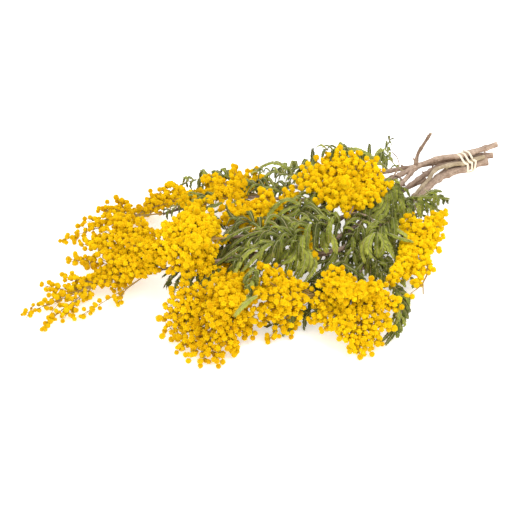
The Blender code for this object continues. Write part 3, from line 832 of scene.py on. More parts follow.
def add_tube(shape, route, radii, sides, finish=0, cut=(False, False), cut_finish=0, **paint):
    """A closed tube along the route. Its radii are one for each ring, or one for each point."""
    radii = np.asarray(radii, float)
    if radii.ndim == 1:
        radii = radii[:, None]
    directions = rings_round(route, sides)
    points = (route[:, None] + directions * radii[..., None]).reshape(-1, 3)
    rings = len(route)
    side = np.arange(sides)
    after = (side + 1) % sides
    start, end = rings * sides, rings * sides + 1
    last = (rings - 1) * sides
    first_cap = np.stack([np.full(sides, start), after, side], axis=-1)
    last_cap = np.stack([np.full(sides, end), last + side, last + after], axis=-1)
    faces = np.concatenate([ring_faces(rings, sides), first_cap, last_cap])
    finishes = np.full(len(faces), finish)
    if cut[0]:
        finishes[-2 * sides:-sides] = cut_finish
    if cut[1]:
        finishes[-sides:] = cut_finish
    points = np.concatenate([points, route[:1], route[-1:]])
    if "grain" in shape.paint:
        angle = angles_round(sides)
        girth = np.broadcast_to(radii, (rings, sides))
        run = np.broadcast_to(distance_along(route)[:, None], (rings, sides))
        grain = np.stack([np.cos(angle) * girth, np.sin(angle) * girth, run], axis=-1).reshape(-1, 3)
        ends = [(0.0, 0.0, 0.0), (0.0, 0.0, run[-1, 0])]
        paint["grain"] = np.concatenate([grain, ends])
    shape.add(points, faces, finishes, **paint)


def add_twig(shape, route, thick, thin, sides):
    """A plain tube in the piece's second finish, tapered from its start to its end."""
    add_tube(shape, route, np.linspace(thick, thin, len(route)), sides, finish=1)


def faces_of_copies(faces, count, points):
    """The triangles of this many copies of a form that has this many points."""
    return (faces + (np.arange(count) * points)[:, None, None]).reshape(-1, 3)


# Stems

def tapered_route(places, thick, thin):
    """A stem's curve, how far along it each of its rings is, and the radius there."""
    route = curve_through(metres(places), BARK_STEP)
    run = distance_along(route)
    share = run / run[-1]
    return route, run, (thick + (thin - thick) * share) * MM


def swelling(run, places, swell, length):
    """A share to add to the radius near each of the places along a run."""
    near = np.exp(-((run[:, None] - np.asarray(places)[None]) / length) ** 2)
    return swell * near.sum(axis=1)


def add_bark_tube(shape, places, thick, thin, draw, tone, cut, collar=False):
    """A woody stretch with knuckles, a wavy outline and spurs where twigs broke off."""
    route, run, radius = tapered_route(places, thick, thin)
    knuckles = []
    place = draw.uniform(*FIRST_KNUCKLE) * KNUCKLE_SPACING
    while place < run[-1]:
        knuckles.append(place)
        place += draw.uniform(*KNUCKLE_GAPS) * KNUCKLE_SPACING
    radius = radius * (1 + swelling(run, knuckles, KNUCKLE_SWELL, KNUCKLE_LENGTH))
    if collar:
        radius = radius * (1 + COLLAR_SWELL * np.exp(-run / COLLAR_LENGTH))
    angle = angles_round(BARK_SIDES)
    waves = np.zeros((len(route), BARK_SIDES))
    for turns, length in BARK_WAVES:
        phase = draw.uniform(0, 2 * math.pi)
        waves += np.sin(turns * angle[None] + run[:, None] / length + phase)
    radii = radius[:, None] * (1 + BARK_WAVE * waves)
    aged = tone + (1 - tone) * YOUNG_DARK * (run / run[-1]) ** YOUNG_ONSET
    add_tube(shape, route, radii, BARK_SIDES, cut=cut, cut_finish=1,
             tone=np.append(np.repeat(aged, BARK_SIDES), (aged[0], aged[-1])))
    around = rings_round(route, BARK_SIDES)
    for knuckle in knuckles[::2]:
        ring = min(int(np.searchsorted(run, knuckle)), len(route) - 2)
        out = around[ring, draw.randrange(BARK_SIDES)]
        heading = unit(route[ring + 1] - route[ring])
        grow = unit(out + SPUR_LEAN * heading)
        size = min(1.0, radius[ring] / SPUR_STEM)
        foot = route[ring] + out * radius[ring] * SPUR_DEPTH
        spur = foot + grow * (np.array(SPUR_PLACES) * SPUR_LENGTH * size)[:, None]
        add_tube(shape, above_floor(spur, SPUR_RADIUS), np.array(SPUR_WIDTHS) * SPUR_RADIUS * size,
                 SPUR_SIDES, tone=tone)


def grow_stem(name):
    places, thick, thin, slot = STEMS[name]
    draw = random.Random(name)
    shape = Shape("grain", "tone")
    tone = STEM_TONES[name]
    add_bark_tube(shape, places, thick, thin, draw, tone, cut=(True, False))
    for parent, fork, fork_thick, fork_thin, cut_off in FORKS:
        if parent == name:
            add_bark_tube(shape, fork, fork_thick, fork_thin, draw, tone, (False, cut_off), collar=True)
    bark = materials["bark"] if slot == "bark" else materials["green bark"]
    shape.as_piece(name.replace("stem_", "branch_"), [bark, materials["cut wood"]], name,
                   sharp=BARK_CREASE)


# Elastic

def section_of(route, radii, x):
    """The middle and the radius of a stem where it passes x."""
    order = np.argsort(route[:, 0])
    xs = route[order, 0]
    return at_distance(route[order], xs, x), np.interp(x, xs, radii[order])


def wind_elastic():
    """Three turns along the stems, and a last stretch underneath that crosses back over them."""
    sections = []
    for places, thick, thin, _ in STEMS.values():
        route, _, radii = tapered_route(places, thick, thin)
        near = route[:, 0] > BAND_START - BAND_MARGIN
        sections.append((route[near], radii[near]))
    total = BAND_TURNS * BAND_STEPS
    back = round(BAND_RETURN * BAND_STEPS)
    points = []
    for i in range(total):
        angle = BAND_FIRST_ANGLE + 2 * math.pi * i / BAND_STEPS
        if i < total - back:
            along = i / BAND_STEPS * BAND_PITCH
            lift = 0.0
        else:
            t = (i - (total - back)) / back
            along = (total - back) / BAND_STEPS * BAND_PITCH * (1 - t)
            lift = 2 * BAND_THICK * min(1.0, t / BAND_RAMP, (1 - t) / BAND_RAMP)
        facing = np.array((0.0, math.cos(angle), math.sin(angle)))
        found = [section_of(route, radii, BAND_START + along) for route, radii in sections]
        middle, radius = max(found, key=lambda one: one[0] @ facing + one[1])
        slant = np.array((-BAND_SLANT * math.sin(angle), 0.0, 0.0))
        points.append(middle + slant + facing * (radius + BAND_GAP + BAND_THICK + lift))
    return np.array(points)


def squared(wave, power):
    """A wave from -1 to 1 that stays nearer to its ends, the smaller the power."""
    return np.sign(wave) * np.abs(wave) ** power


def elastic_band():
    """A flat band with rounded edges along its windings, which are smoothed a little first."""
    shape = Shape("grain")
    route = wind_elastic()
    for _ in range(BAND_SMOOTHINGS):
        route = (np.roll(route, 1, axis=0) + 2 * route + np.roll(route, -1, axis=0)) / 4
    along = unit(np.roll(route, -1, axis=0) - np.roll(route, 1, axis=0))
    wide = unit(np.array((1.0, 0.0, 0.0)) - along * along[:, :1])
    out = np.cross(along, wide)
    angle = angles_round(BAND_SIDES)
    flat = squared(np.cos(angle), BAND_SQUARENESS[0]) * BAND_WIDE
    deep = squared(np.sin(angle), BAND_SQUARENESS[1]) * BAND_THICK
    points = route[:, None] + wide[:, None] * flat[:, None] + out[:, None] * deep[:, None]
    faces = ring_faces(len(route), BAND_SIDES, closed=True)
    run = np.broadcast_to(distance_along(route)[:, None], points.shape[:2])
    grain = np.stack([np.broadcast_to(flat, run.shape), np.broadcast_to(deep, run.shape), run], axis=-1)
    shape.add(points.reshape(-1, 3), faces, grain=grain.reshape(-1, 3))
    shape.as_piece("rubber_band", [materials["rubber"]], "elastic_tie")


# Panicles

def turned_about(heading, angle, lean):
    """A direction out from the heading at this angle round it, leaning forward by this share."""
    across = unit(np.cross(heading, UP + heading[::-1] * OFF_UPRIGHT))
    over = np.cross(across, heading)
    return unit(across * math.cos(angle) + over * math.sin(angle) + heading * lean)


def places_between(base, tips):
    """Places between each tip and the two tips nearest to it, for smaller branches."""
    found = {}
    for i, tip in enumerate(tips):
        gaps = sorted((np.linalg.norm(other - tip), j) for j, other in enumerate(tips) if j != i)
        for gap, j in gaps[:2]:
            if gap < FAR_TIPS:
                found[min(i, j), max(i, j)] = base + ((tip + tips[j]) / 2 - base) * BETWEEN_REACH
    return [found[pair] for pair in sorted(found)]


class Panicle:
    """A panicle as it grows: its twigs, as (route, thick, thin), and its flower heads."""

    def __init__(self, name, reach, ripeness_and_shade):
        self.name = name
        self.draw = random.Random(name)
        self.reach = reach * MM
        self.spacing = SPARSE_SPACING if reach < SPARSE_REACH or name in GAPPY else HEAD_SPACING
        self.head_radius = HEAD_RADIUS * HEAD_SIZES.get(name, 1.0)
        self.ripeness_and_shade = ripeness_and_shade
        self.twigs = []
        self.heads = []

    def add_head(self, foot, heading):
        """A puff flower head, or now and then a bud, on a short stalk."""
        bud = self.draw.random() < BUD_SHARE
        radius = (BUD_RADIUS if bud else self.head_radius) * self.draw.gauss(1.0, HEAD_VARIATION)
        place = foot + unit(heading) * (PEDICEL * self.draw.uniform(*PEDICEL_RANGE) + radius)
        # The panicle's value is partly painted shade, which turns less lit panicles amber
        ripe = self.ripeness_and_shade + self.draw.gauss(0.0, RIPE_VARIATION) + (BUD_RIPENESS if bud else 0.0)
        self.heads.append({"foot": foot, "place": place, "radius": radius, "ripe": ripe})

    def add_heads_along(self, route, stop):
        """A head at a twig's end, and heads all round it, back to this share of its length."""
        run = distance_along(route)
        heading = unit(route[-1] - route[-3])
        self.add_head(route[-1], heading)
        turn = self.draw.uniform(0, 2 * math.pi)
        at = run[-1] - self.spacing * self.draw.uniform(*FIRST_HEAD_GAP)
        while at > run[-1] * stop:
            turn += GOLDEN_ANGLE
            self.add_head(at_distance(route, run, at), turned_about(heading, turn, HEAD_LEAN))
            at -= self.spacing * self.draw.uniform(*HEAD_GAPS)

    def add_raceme(self, start, control, tip, share, angle, widest):
        """A raceme that leaves a branch and ends beside it, at this share of the branch's length."""
        length = np.linalg.norm(tip - start)
        side = turned_about(arc_heading(start, control, tip, share), angle, 0.0)
        wide = widest * np.interp(share, LOBE_PLACES, LOBE_WIDTHS)
        offset = max(NARROWEST, wide - RACEME_INSET) * self.draw.uniform(*OFFSET_RANGE)
        end = arc(start, control, tip, share) + side * offset
        reach = min(self.reach, length * LONGEST_RACEME)
        leave = max(FIRST_LEAVING, share - reach * self.draw.uniform(*REACH_RANGE) / length)
        foot = arc(start, control, tip, leave)
        bend = foot + arc_heading(start, control, tip, leave) * np.linalg.norm(end - foot) * RACEME_BEND
        raceme = above_floor(arc(foot, bend, end, np.linspace(0, 1, RACEME_STEPS)), RACEME_CLEARANCE)
        self.twigs.append((raceme, RACEME_THICK, RACEME_THIN))
        self.add_heads_along(raceme, BARE_RACEME)

    def add_branch(self, start, trunk, tip, racemes, first_angle):
        length = np.linalg.norm(tip - start)
        control = start + (tip - start) * BRANCH_BEND + unit(trunk) * length * TRUNK_LEAN
        branch = above_floor(arc(start, control, tip, np.linspace(0, 1, BRANCH_STEPS)), BRANCH_CLEARANCE)
        self.twigs.append((branch, BRANCH_THICK, BRANCH_THIN))
        widest = min(self.reach * LOBE_SHARE, length * WIDEST_LOBE)
        for k in range(racemes):
            step = (k + self.draw.uniform(*RACEME_PLACES)) / racemes
            share = FIRST_RACEME + (1 - FIRST_RACEME) * step
            angle = first_angle + k * GOLDEN_ANGLE + self.draw.gauss(0, ANGLE_VARIATION)
            self.add_raceme(start, control, tip, share, angle, widest)
        self.add_heads_along(branch, BARE_BRANCH)


def grow_panicle(name):
    base, tips, reach, racemes, ripeness_and_shade = PANICLES[name]
    panicle = Panicle(name, reach, ripeness_and_shade)
    base = metres(base)
    tips = metres(tips)
    trunk = (np.mean(tips, axis=0) - base) * TRUNK_SHARE
    panicle.twigs.append((np.linspace(base, base + trunk, RACEME_STEPS), TRUNK_THICK, BRANCH_THICK))
    for i, tip in enumerate(tips):
        fork = FIRST_FORK + (LAST_FORK - FIRST_FORK) * i / (len(tips) - 1)
        grown = racemes if tip[2] > LOW_TIP else round(racemes * LOW_SHARE)
        panicle.add_branch(base + trunk * fork, trunk, tip, grown, i * BRANCH_TURN)
    smaller = list(metres(SMALL_BRANCHES.get(name, [])))
    if name in BUSHY:
        smaller += places_between(base, tips)
    for i, tip in enumerate(smaller):
        fork = panicle.draw.uniform(FIRST_FORK, LAST_FORK)
        panicle.add_branch(base + trunk * fork, trunk, tip, round(racemes * SMALL_SHARE), i * SMALL_TURN)
    for owner, route, thick, thin, stop in LOOSE_TWIGS:
        if owner == name:
            route = curve_through(metres(route), TWIG_STEP)
            panicle.twigs.append((route, thick * MM, thin * MM))
            if stop < 1:
                panicle.add_heads_along(route, stop)
    return panicle


def gathered(heads, what):
    return np.array([head[what] for head in heads])


def spread_heads(heads):
    """Pushes flower heads apart until they only press lightly on each other, above the floor."""
    places = gathered(heads, "place")
    feet = gathered(heads, "foot")
    radii = gathered(heads, "radius")
    for _ in range(SPREADING_ROUNDS):
        tree = search_tree(places)
        push = np.zeros_like(places)
        for i, place in enumerate(places):
            for other, j, gap in tree.find_range(place, 2 * radii[i] * LARGEST_HEAD):
                closest = CLOSEST * (radii[i] + radii[j])
                if j != i and gap < closest:
                    away = (place - np.array(other)) / max(gap, SMALLEST_GAP)
                    push[i] += away * (closest - gap) / 2
        places = places + push
        places += (feet - places) * STALK_PULL
        places[:, 2] = np.maximum(places[:, 2], radii * CLEAR_OF_FLOOR)
    for head, place in zip(heads, places):
        head["place"] = place


def find_open_heads(heads):
    """Marks the heads most open to the air, which get the finer pattern, and those shut in by others."""
    count = np.arange(OPEN_DIRECTIONS)
    height = 1 - 2 * (count + 0.5) / OPEN_DIRECTIONS
    level = np.sqrt(1 - height**2)
    directions = np.stack([level * np.cos(count * GOLDEN_ANGLE), level * np.sin(count * GOLDEN_ANGLE),
                           height], axis=-1)
    places = gathered(heads, "place")
    radii = gathered(heads, "radius")
    tree = search_tree(places)
    openness = np.zeros(len(places))
    for i, place in enumerate(places):
        near = [j for _, j, _ in tree.find_range(place, SHELTER) if j != i]
        offsets = places[near] - place
        along = offsets @ directions.T
        beside = (offsets**2).sum(axis=1)[:, None] - along**2
        blocked = (along > 0) & (beside < (radii[near] * SOLID_SHARE)[:, None] ** 2)
        openness[i] = 1 - blocked.any(axis=0).mean() if near else 1.0
    limit = np.quantile(openness[openness > HIDDEN], 1 - FINE_SHARE)
    for head, share in zip(heads, openness):
        head["hidden"] = share <= HIDDEN
        head["fine"] = share > limit


def head_pattern(subdivisions, valley):
    """A ball of little spikes: its points, its triangles, and 1 at each spike's tip."""
    ball = bmesh.new()
    bmesh.ops.create_icosphere(ball, subdivisions=subdivisions, radius=valley)
    tips = bmesh.ops.poke(ball, faces=ball.faces)["verts"]
    for tip in tips:
        tip.co = tip.co.normalized()
    ball.verts.index_update()
    points = np.array([vert.co for vert in ball.verts])
    faces = np.array([[vert.index for vert in face.verts] for face in ball.faces])
    spiky = np.zeros(len(points))
    spiky[[tip.index for tip in tips]] = 1.0
    ball.free()
    return points, faces, spiky


def random_turns(count, dice):
    """Rotation matrices spread evenly over every direction."""
    w, x, y, z = unit(dice.normal(size=(count, 4))).T
    return np.stack([
        np.stack([1 - 2 * (y * y + z * z), 2 * (x * y - z * w), 2 * (x * z + y * w)], axis=-1),
        np.stack([2 * (x * y + z * w), 1 - 2 * (x * x + z * z), 2 * (y * z - x * w)], axis=-1),
        np.stack([2 * (x * z - y * w), 2 * (y * z + x * w), 1 - 2 * (x * x + y * y)], axis=-1),
    ], axis=1)


def add_heads(shape, heads, pattern, dice):
    if not heads:
        return
    points, faces, spiky = pattern
    count = len(heads)
    radii = gathered(heads, "radius")
    reach = 1 + SPIKE_VARIATION * dice.uniform(-1, 1, (count, len(points))) * spiky
    turned = np.einsum("nij,kj->nki", random_turns(count, dice), points)
    made = turned * (radii[:, None] * reach)[..., None] + gathered(heads, "place")[:, None]
    made[..., 2] = np.maximum(made[..., 2], FLOOR_GAP)
    shape.add(made.reshape(-1, 3), faces_of_copies(faces, count, len(points)),
              ripe=np.repeat(gathered(heads, "ripe"), len(points)), spiky=np.tile(spiky, count))


def panicle_piece(panicle):
    shape = Shape("ripe", "spiky")
    for twig in panicle.twigs:
        add_twig(shape, *twig, TWIG_SIDES)
    for head in panicle.heads:
        stalk = np.array([head["foot"], head["place"]])
        add_twig(shape, stalk, PEDICEL_THICK, PEDICEL_THIN, STALK_SIDES)
    dice = np.random.default_rng(len(panicle.heads))
    for fine, pattern in ((True, fine_pattern), (False, plain_pattern)):
        add_heads(shape, [head for head in panicle.heads if head["fine"] == fine], pattern, dice)
    shape.as_piece(panicle.name.replace("flowers_", "puffs_"), [materials["puff"], materials["twig"]],
                   panicle.name, smooth=False)


# Leaves

LEAFLET_FACES = np.array([(0, 1, 2), (0, 3, 1), (0, 2, 3), (1, 3, 2)])


def add_leaflets(shape, rachilla, length, fold, tone, draw):
    """Two rows of thin overlapping leaflets, each creased along its middle, folded down from a rib."""
    run = distance_along(rachilla)
    count = max(FEWEST_LEAFLETS, round(run[-1] / LEAFLET_SPACING))
    share = (np.arange(count) + 0.5) / count
    at = share * run[-1]
    feet = at_distance(rachilla, run, at)
    heading = unit(at_distance(unit(np.gradient(rachilla, axis=0)), run, at))
    across = unit(np.cross(heading, UP))
    over = np.cross(across, heading)
    full = np.sin(math.pi * (FULLNESS_START + FULLNESS_SPAN * share)) ** FULLNESS_POWER
    dice = np.random.default_rng(draw.randrange(LEAFLET_SEEDS))
    for side in (-1, 1):
        folded = fold + dice.normal(0, FOLD_VARIATION, count)
        lean = LEAFLET_ANGLE - TIP_LEAN * share + dice.normal(0, LEAN_VARIATION, count)
        size = length * full * dice.uniform(*LEAFLET_RANGE, count)
        aside = across * (side * np.cos(folded))[:, None] - over * np.sin(folded)[:, None]
        out = unit(heading * np.cos(lean)[:, None] + aside * np.sin(lean)[:, None])
        face = unit(np.cross(aside, heading)) * side
        edge = np.cross(face, out)
        crease = face * LEAFLET_THICK * 0.5
        middle = feet + out * (size * WIDEST_LEAFLET)[:, None] - crease
        half = edge * (LEAFLET_WIDTH * 0.5 * full)[:, None]
        points = np.stack([feet + crease, feet + out * size[:, None] + crease, middle + half,
                           middle - half], axis=1)
        corners = points.shape[1]
        tones = np.repeat(tone + dice.normal(0, TONE_VARIATION, count), corners)
        shape.add(points.reshape(-1, 3), faces_of_copies(LEAFLET_FACES, count, corners), tone=tones,
                  rim=np.tile(RIM_PALENESS, count))


def add_pinna(shape, start, middle, end, leaflet, tone, draw):
    """A curved rib with two rows of leaflets, which passes through the middle place."""
    bend = 2 * middle - (start + end) / 2
    rib = above_floor(arc(start, bend, end, np.linspace(0, 1, PINNA_STEPS)), PINNA_CLEARANCE)
    add_twig(shape, rib, RACHILLA_THICK, RACHILLA_THIN, RACHILLA_SIDES)
    add_leaflets(shape, rib, leaflet, draw.uniform(*LEAFLET_FOLD), tone, draw)


def add_strap(shape, places, painted_shade, draw):
    """A long pinna that has curled into a strap, with painted shade that makes it darker the lower that
    it lies.
    """
    start, middle, end = metres(places)
    light = np.interp(middle[2], (SHADED_HEIGHT, LIT_HEIGHT), LIT_RANGE) + draw.uniform(*STRAP_TONES)
    add_pinna(shape, start, middle, end, STRAP_LEAFLET, light * painted_shade, draw)


def add_leaf(shape, places, length, closed, narrow, painted_shade, draw):
    """A leaf: a rib, and pairs of pinnae along it, which point forward and hang as they close."""
    base, middle, tip = metres(places)
    control = 2 * middle - (base + tip) / 2
    rachis = above_floor(arc(base, control, tip, np.linspace(0, 1, RACHIS_STEPS)), RACHIS_THICK)
    add_twig(shape, rachis, RACHIS_THICK, RACHIS_THIN, RACHIS_SIDES)
    pairs = max(FEWEST_PAIRS, round(distance_along(rachis)[-1] * (LAST_PAIR - FIRST_PAIR) / PAIR_SPACING))
    for pair in range(2 * pairs):
        side = 1 if pair % 2 else -1
        share = min(1.0, (pair // 2 + draw.uniform(-PAIR_SHIFT, PAIR_SHIFT)) / (pairs - 1))
        t = FIRST_PAIR + (LAST_PAIR - FIRST_PAIR) * share
        start = arc(base, control, tip, t)
        along = arc_heading(base, control, tip, t)
        across = unit(np.cross(along, UP))
        size = length * MM * (1.0 - PAIR_TAPER * abs(share - LONGEST_PAIR)) * draw.uniform(*PINNA_RANGE)
        sweep = OPEN_SWEEP + (CLOSED_SWEEP - OPEN_SWEEP) * closed + draw.gauss(0, SWEEP_VARIATION)
        hang = OPEN_HANG + (CLOSED_HANG - OPEN_HANG) * closed + draw.gauss(0, HANG_VARIATION)
        out = unit(along * max(sweep, LEAST_SWEEP) + across * side)
        rise = SHOULDER_RISE + draw.uniform(*SHOULDER_RANGE)
        shoulder = start + (out * SHOULDER_OUT + UP * rise) * size
        end = start + unit(out * PINNA_OUT - UP * hang) * PINNA_CHORD * size
        fitting = min(1.0, SHORTEST_LEAFLET + (1 - SHORTEST_LEAFLET) * size / LONG_PINNA)
        leaflet = LEAFLET_LENGTH * narrow * fitting
        # A random tone, times the leaf's painted shade
        add_pinna(shape, start, shoulder, end, leaflet, draw.uniform(*LEAF_TONES) * painted_shade, draw)


def leaf_piece(name):
    draw = random.Random(name)
    shape = Shape("tone", "rim")
    narrow = NARROW_LEAVES.get(name, 1.0)
    # Painted shade, for leaves that lie under others
    painted_shade = SHADE_PAINTED_LEAVES.get(name, 1.0)
    for owner, base, middle, tip, length, closed in [(name, *LEAVES[name]), *NEIGHBOURS]:
        if owner == name:
            add_leaf(shape, (base, middle, tip), length, closed, narrow, painted_shade, draw)
    for places in STRAPS.get(name, []):
        add_strap(shape, places, painted_shade, draw)
    shape.as_piece(name.replace("leaf_", "foliage_"), [materials["leaf"], materials["leaf rib"]],
                   name, sharp=LEAF_CREASE)


# Finishes

def input_sockets(tree, sockets):
    for name, kind, value in sockets:
        made = tree.interface.new_socket(name, in_out="INPUT", socket_type=kind)
        if value is not None:
            made.default_value = value


def output_sockets(tree, sockets):
    for name, kind in sockets:
        tree.interface.new_socket(name, in_out="OUTPUT", socket_type=kind)


def add_node(tree, kind, inputs=None, **settings):
    """A node of this kind. Each input is a value, or another node's output to join to it."""
    node = tree.nodes.new(kind)
    for name, value in settings.items():
        setattr(node, name, value)
    for name, value in (inputs or {}).items():
        if isinstance(value, bpy.types.NodeSocket):
            tree.links.new(value, node.inputs[name])
        else:
            node.inputs[name].default_value = value
    return node


def colour(red, green, blue):
    return (red, green, blue, 1.0)


def blend_colours(tree, share, first, second, how="MIX"):
    """A colour between two, or made from both. The numbers are the colour form's own sockets."""
    node = add_node(tree, "ShaderNodeMix", {0: share, 6: first, 7: second}, data_type="RGBA",
                    blend_type=how)
    return node.outputs[2]


def multiplied(tree, first, second):
    return blend_colours(tree, 1.0, first, second, "MULTIPLY")


def two_numbers(tree, operation, first, second, **settings):
    node = add_node(tree, "ShaderNodeMath", {0: first, 1: second}, operation=operation, **settings)
    return node.outputs[0]


def noise_of(tree, place, scale, **settings):
    inputs = {"Vector": place, "Scale": scale}
    for name, value in settings.items():
        inputs[name.capitalize()] = value
    return add_node(tree, "ShaderNodeTexNoise", inputs).outputs["Fac"]


def ramp(tree, share, stops):
    node = add_node(tree, "ShaderNodeValToRGB", {"Fac": share})
    while len(node.color_ramp.elements) < len(stops):
        node.color_ramp.elements.new(0.5)
    for element, (place, shade) in zip(node.color_ramp.elements, stops):
        element.position = place
        element.color = shade
    return node.outputs["Color"]


def paint_of(tree, name, output="Fac"):
    return add_node(tree, "ShaderNodeAttribute", attribute_name=name).outputs[output]


def make_mottle_group():
    """Soft irregular patches of a second colour over a first."""
    tree = bpy.data.node_groups.new("Mottled patches", "ShaderNodeTree")
    input_sockets(tree, [
        ("Place", "NodeSocketVector", None),
        ("Patches per metre", "NodeSocketFloat", 300.0),
        ("Spread", "NodeSocketFloat", 0.5),
        ("First colour", "NodeSocketColor", colour(0.5, 0.5, 0.5)),
        ("Second colour", "NodeSocketColor", colour(0.2, 0.2, 0.2)),
    ])
    output_sockets(tree, [("Colour", "NodeSocketColor"), ("Mask", "NodeSocketFloat")])
    given = add_node(tree, "NodeGroupInput").outputs
    noise = noise_of(tree, given["Place"], given["Patches per metre"], detail=4.0, roughness=0.6)
    low = two_numbers(tree, "SUBTRACT", PATCH_LEVEL, given["Spread"])
    high = two_numbers(tree, "ADD", low, PATCH_EDGE)
    ranged = add_node(tree, "ShaderNodeMapRange", {"Value": noise, "From Min": low, "From Max": high},
                      interpolation_type="SMOOTHSTEP")
    mask = ranged.outputs["Result"]
    mixed = blend_colours(tree, mask, given["First colour"], given["Second colour"])
    add_node(tree, "NodeGroupOutput", {"Colour": mixed, "Mask": mask})
    return tree


def make_bloom_group():
    """A pale dusty bloom, thicker on what faces up."""
    tree = bpy.data.node_groups.new("Dusty bloom", "ShaderNodeTree")
    input_sockets(tree, [
        ("Colour", "NodeSocketColor", colour(0.5, 0.5, 0.5)),
        ("Bloom colour", "NodeSocketColor", colour(0.7, 0.7, 0.6)),
        ("Amount", "NodeSocketFloat", 0.3),
    ])
    output_sockets(tree, [("Colour", "NodeSocketColor")])
    given = add_node(tree, "NodeGroupInput").outputs
    facing = add_node(tree, "ShaderNodeNewGeometry")
    split = add_node(tree, "ShaderNodeSeparateXYZ", {"Vector": facing.outputs["Normal"]})
    upward = add_node(tree, "ShaderNodeMapRange", {
        "Value": split.outputs["Z"], "From Min": BLOOM_START, "From Max": 1.0,
    })
    noise = noise_of(tree, facing.outputs["Position"], 240.0, detail=3.0)
    patchy = two_numbers(tree, "MULTIPLY", upward.outputs["Result"], noise)
    share = two_numbers(tree, "MULTIPLY", patchy, given["Amount"], use_clamp=True)
    mixed = blend_colours(tree, share, given["Colour"], given["Bloom colour"])
    add_node(tree, "NodeGroupOutput", {"Colour": mixed})
    return tree


def new_finish(name, roughness, **uniform):
    """A material with its own Principled shader, and its node tree and shader."""
    made = bpy.data.materials.new(name)
    made.use_nodes = True
    shader = made.node_tree.nodes["Principled BSDF"]
    shader.inputs["Roughness"].default_value = roughness
    for socket, value in uniform.items():
        shader.inputs[socket.replace("_", " ")].default_value = value
    return made, made.node_tree, shader


def object_place(tree):
    return add_node(tree, "ShaderNodeTexCoord").outputs["Object"]


def mottled(tree, place, first, second, patches, spread):
    """Places the patches in a material, and gives their two outputs, Colour and Mask."""
    node = add_node(tree, "ShaderNodeGroup", {
        "Place": place, "Patches per metre": patches, "Spread": spread, "First colour": first,
        "Second colour": second,
    }, node_tree=groups["mottle"])
    return node.outputs


def dusted(tree, shade, bloom, amount):
    node = add_node(tree, "ShaderNodeGroup", {"Colour": shade, "Bloom colour": bloom, "Amount": amount},
                    node_tree=groups["bloom"])
    return node.outputs["Colour"]


def add_relief(tree, shader, height, strength, depth):
    bump = add_node(tree, "ShaderNodeBump", {"Height": height, "Strength": strength, "Distance": depth})
    tree.links.new(bump.outputs["Normal"], shader.inputs["Normal"])


def puff_finish():
    """Fuzzy golden heads: lemon when fresh and amber when ripe, with some panicles set more amber as
    painted shade; painted shade deepens the colour between the spikes and a painted sheen pales the spike
    tips.
    """
    made, tree, shader = new_finish("puff flowers", roughness=0.9, Specular_IOR_Level=0.02)
    place = object_place(tree)
    ripe = paint_of(tree, "ripe")
    spiky = paint_of(tree, "spiky")
    # Lemon to amber by ripeness, and by the painted shade that the value also carries
    body = ramp(tree, ripe, [
        (0.0, colour(0.88, 0.72, 0.006)),
        (0.45, colour(0.77, 0.58, 0.003)),
        (0.8, colour(0.69, 0.455, 0.002)),
        (1.0, colour(0.52, 0.31, 0.002)),
    ])
    # Painted shade: the colour deepens in the valleys between the spikes
    valley = multiplied(tree, body, colour(1.0, 0.78, 0.4))
    # Painted sheen: the spike tips are paler
    tips = blend_colours(tree, TIP_SHEEN, body, colour(0.98, 0.76, 0.030))
    spike_shade_and_sheen = blend_colours(tree, spiky, valley, tips)
    patchy = mottled(tree, place, spike_shade_and_sheen, colour(0.76, 0.50, 0.002), patches=420.0, spread=0.2)
    tree.links.new(patchy["Colour"], shader.inputs["Base Color"])
    fuzz = noise_of(tree, place, 2600.0, detail=2.0)
    add_relief(tree, shader, fuzz, strength=0.5, depth=0.0004)
    return made


def leaf_finish():
    """Dry green leaflets with paler, drier rims and a dusty bloom."""
    made, tree, shader = new_finish("dried leaf", roughness=0.7, Specular_IOR_Level=0.3)
    place = object_place(tree)
    tone = paint_of(tree, "tone")
    rim = paint_of(tree, "rim")
    body = ramp(tree, tone, [
        (0.0, colour(0.036, 0.043, 0.003)),
        (0.5, colour(0.135, 0.158, 0.012)),
        (1.0, colour(0.325, 0.350, 0.052)),
    ])
    patches = mottled(tree, place, body, colour(0.20, 0.175, 0.028), patches=160.0, spread=0.2)
    patchy = patches["Colour"]
    rimmed = blend_colours(tree, rim, patchy, multiplied(tree, patchy, colour(1.5, 1.45, 1.4)))
    bloomed = dusted(tree, rimmed, bloom=colour(0.24, 0.28, 0.08), amount=0.2)
    tree.links.new(bloomed, shader.inputs["Base Color"])
    veins = noise_of(tree, place, 1500.0, detail=2.0)
    add_relief(tree, shader, veins, strength=0.4, depth=0.0002)
    return made


def rib_finish():
    """Pale olive ribs with browner patches."""
    made, tree, shader = new_finish("leaf rib", roughness=0.65)
    place = object_place(tree)
    patchy = mottled(tree, place, colour(0.36, 0.36, 0.16), colour(0.42, 0.30, 0.17), patches=90.0,
                     spread=0.3)
    tree.links.new(patchy["Colour"], shader.inputs["Base Color"])
    add_relief(tree, shader, patchy["Mask"], strength=0.3, depth=0.0002)
    return made


def twig_finish():
    """Thin tan twigs with darker patches and a little bloom."""
    made, tree, shader = new_finish("fine twig", roughness=0.75)
    place = object_place(tree)
    patchy = mottled(tree, place, colour(0.34, 0.20, 0.04), colour(0.19, 0.15, 0.03), patches=60.0,
                     spread=0.25)
    bloomed = dusted(tree, patchy["Colour"], bloom=colour(0.50, 0.38, 0.16), amount=0.1)
    tree.links.new(bloomed, shader.inputs["Base Color"])
    add_relief(tree, shader, patchy["Mask"], strength=0.3, depth=0.0002)
    return made


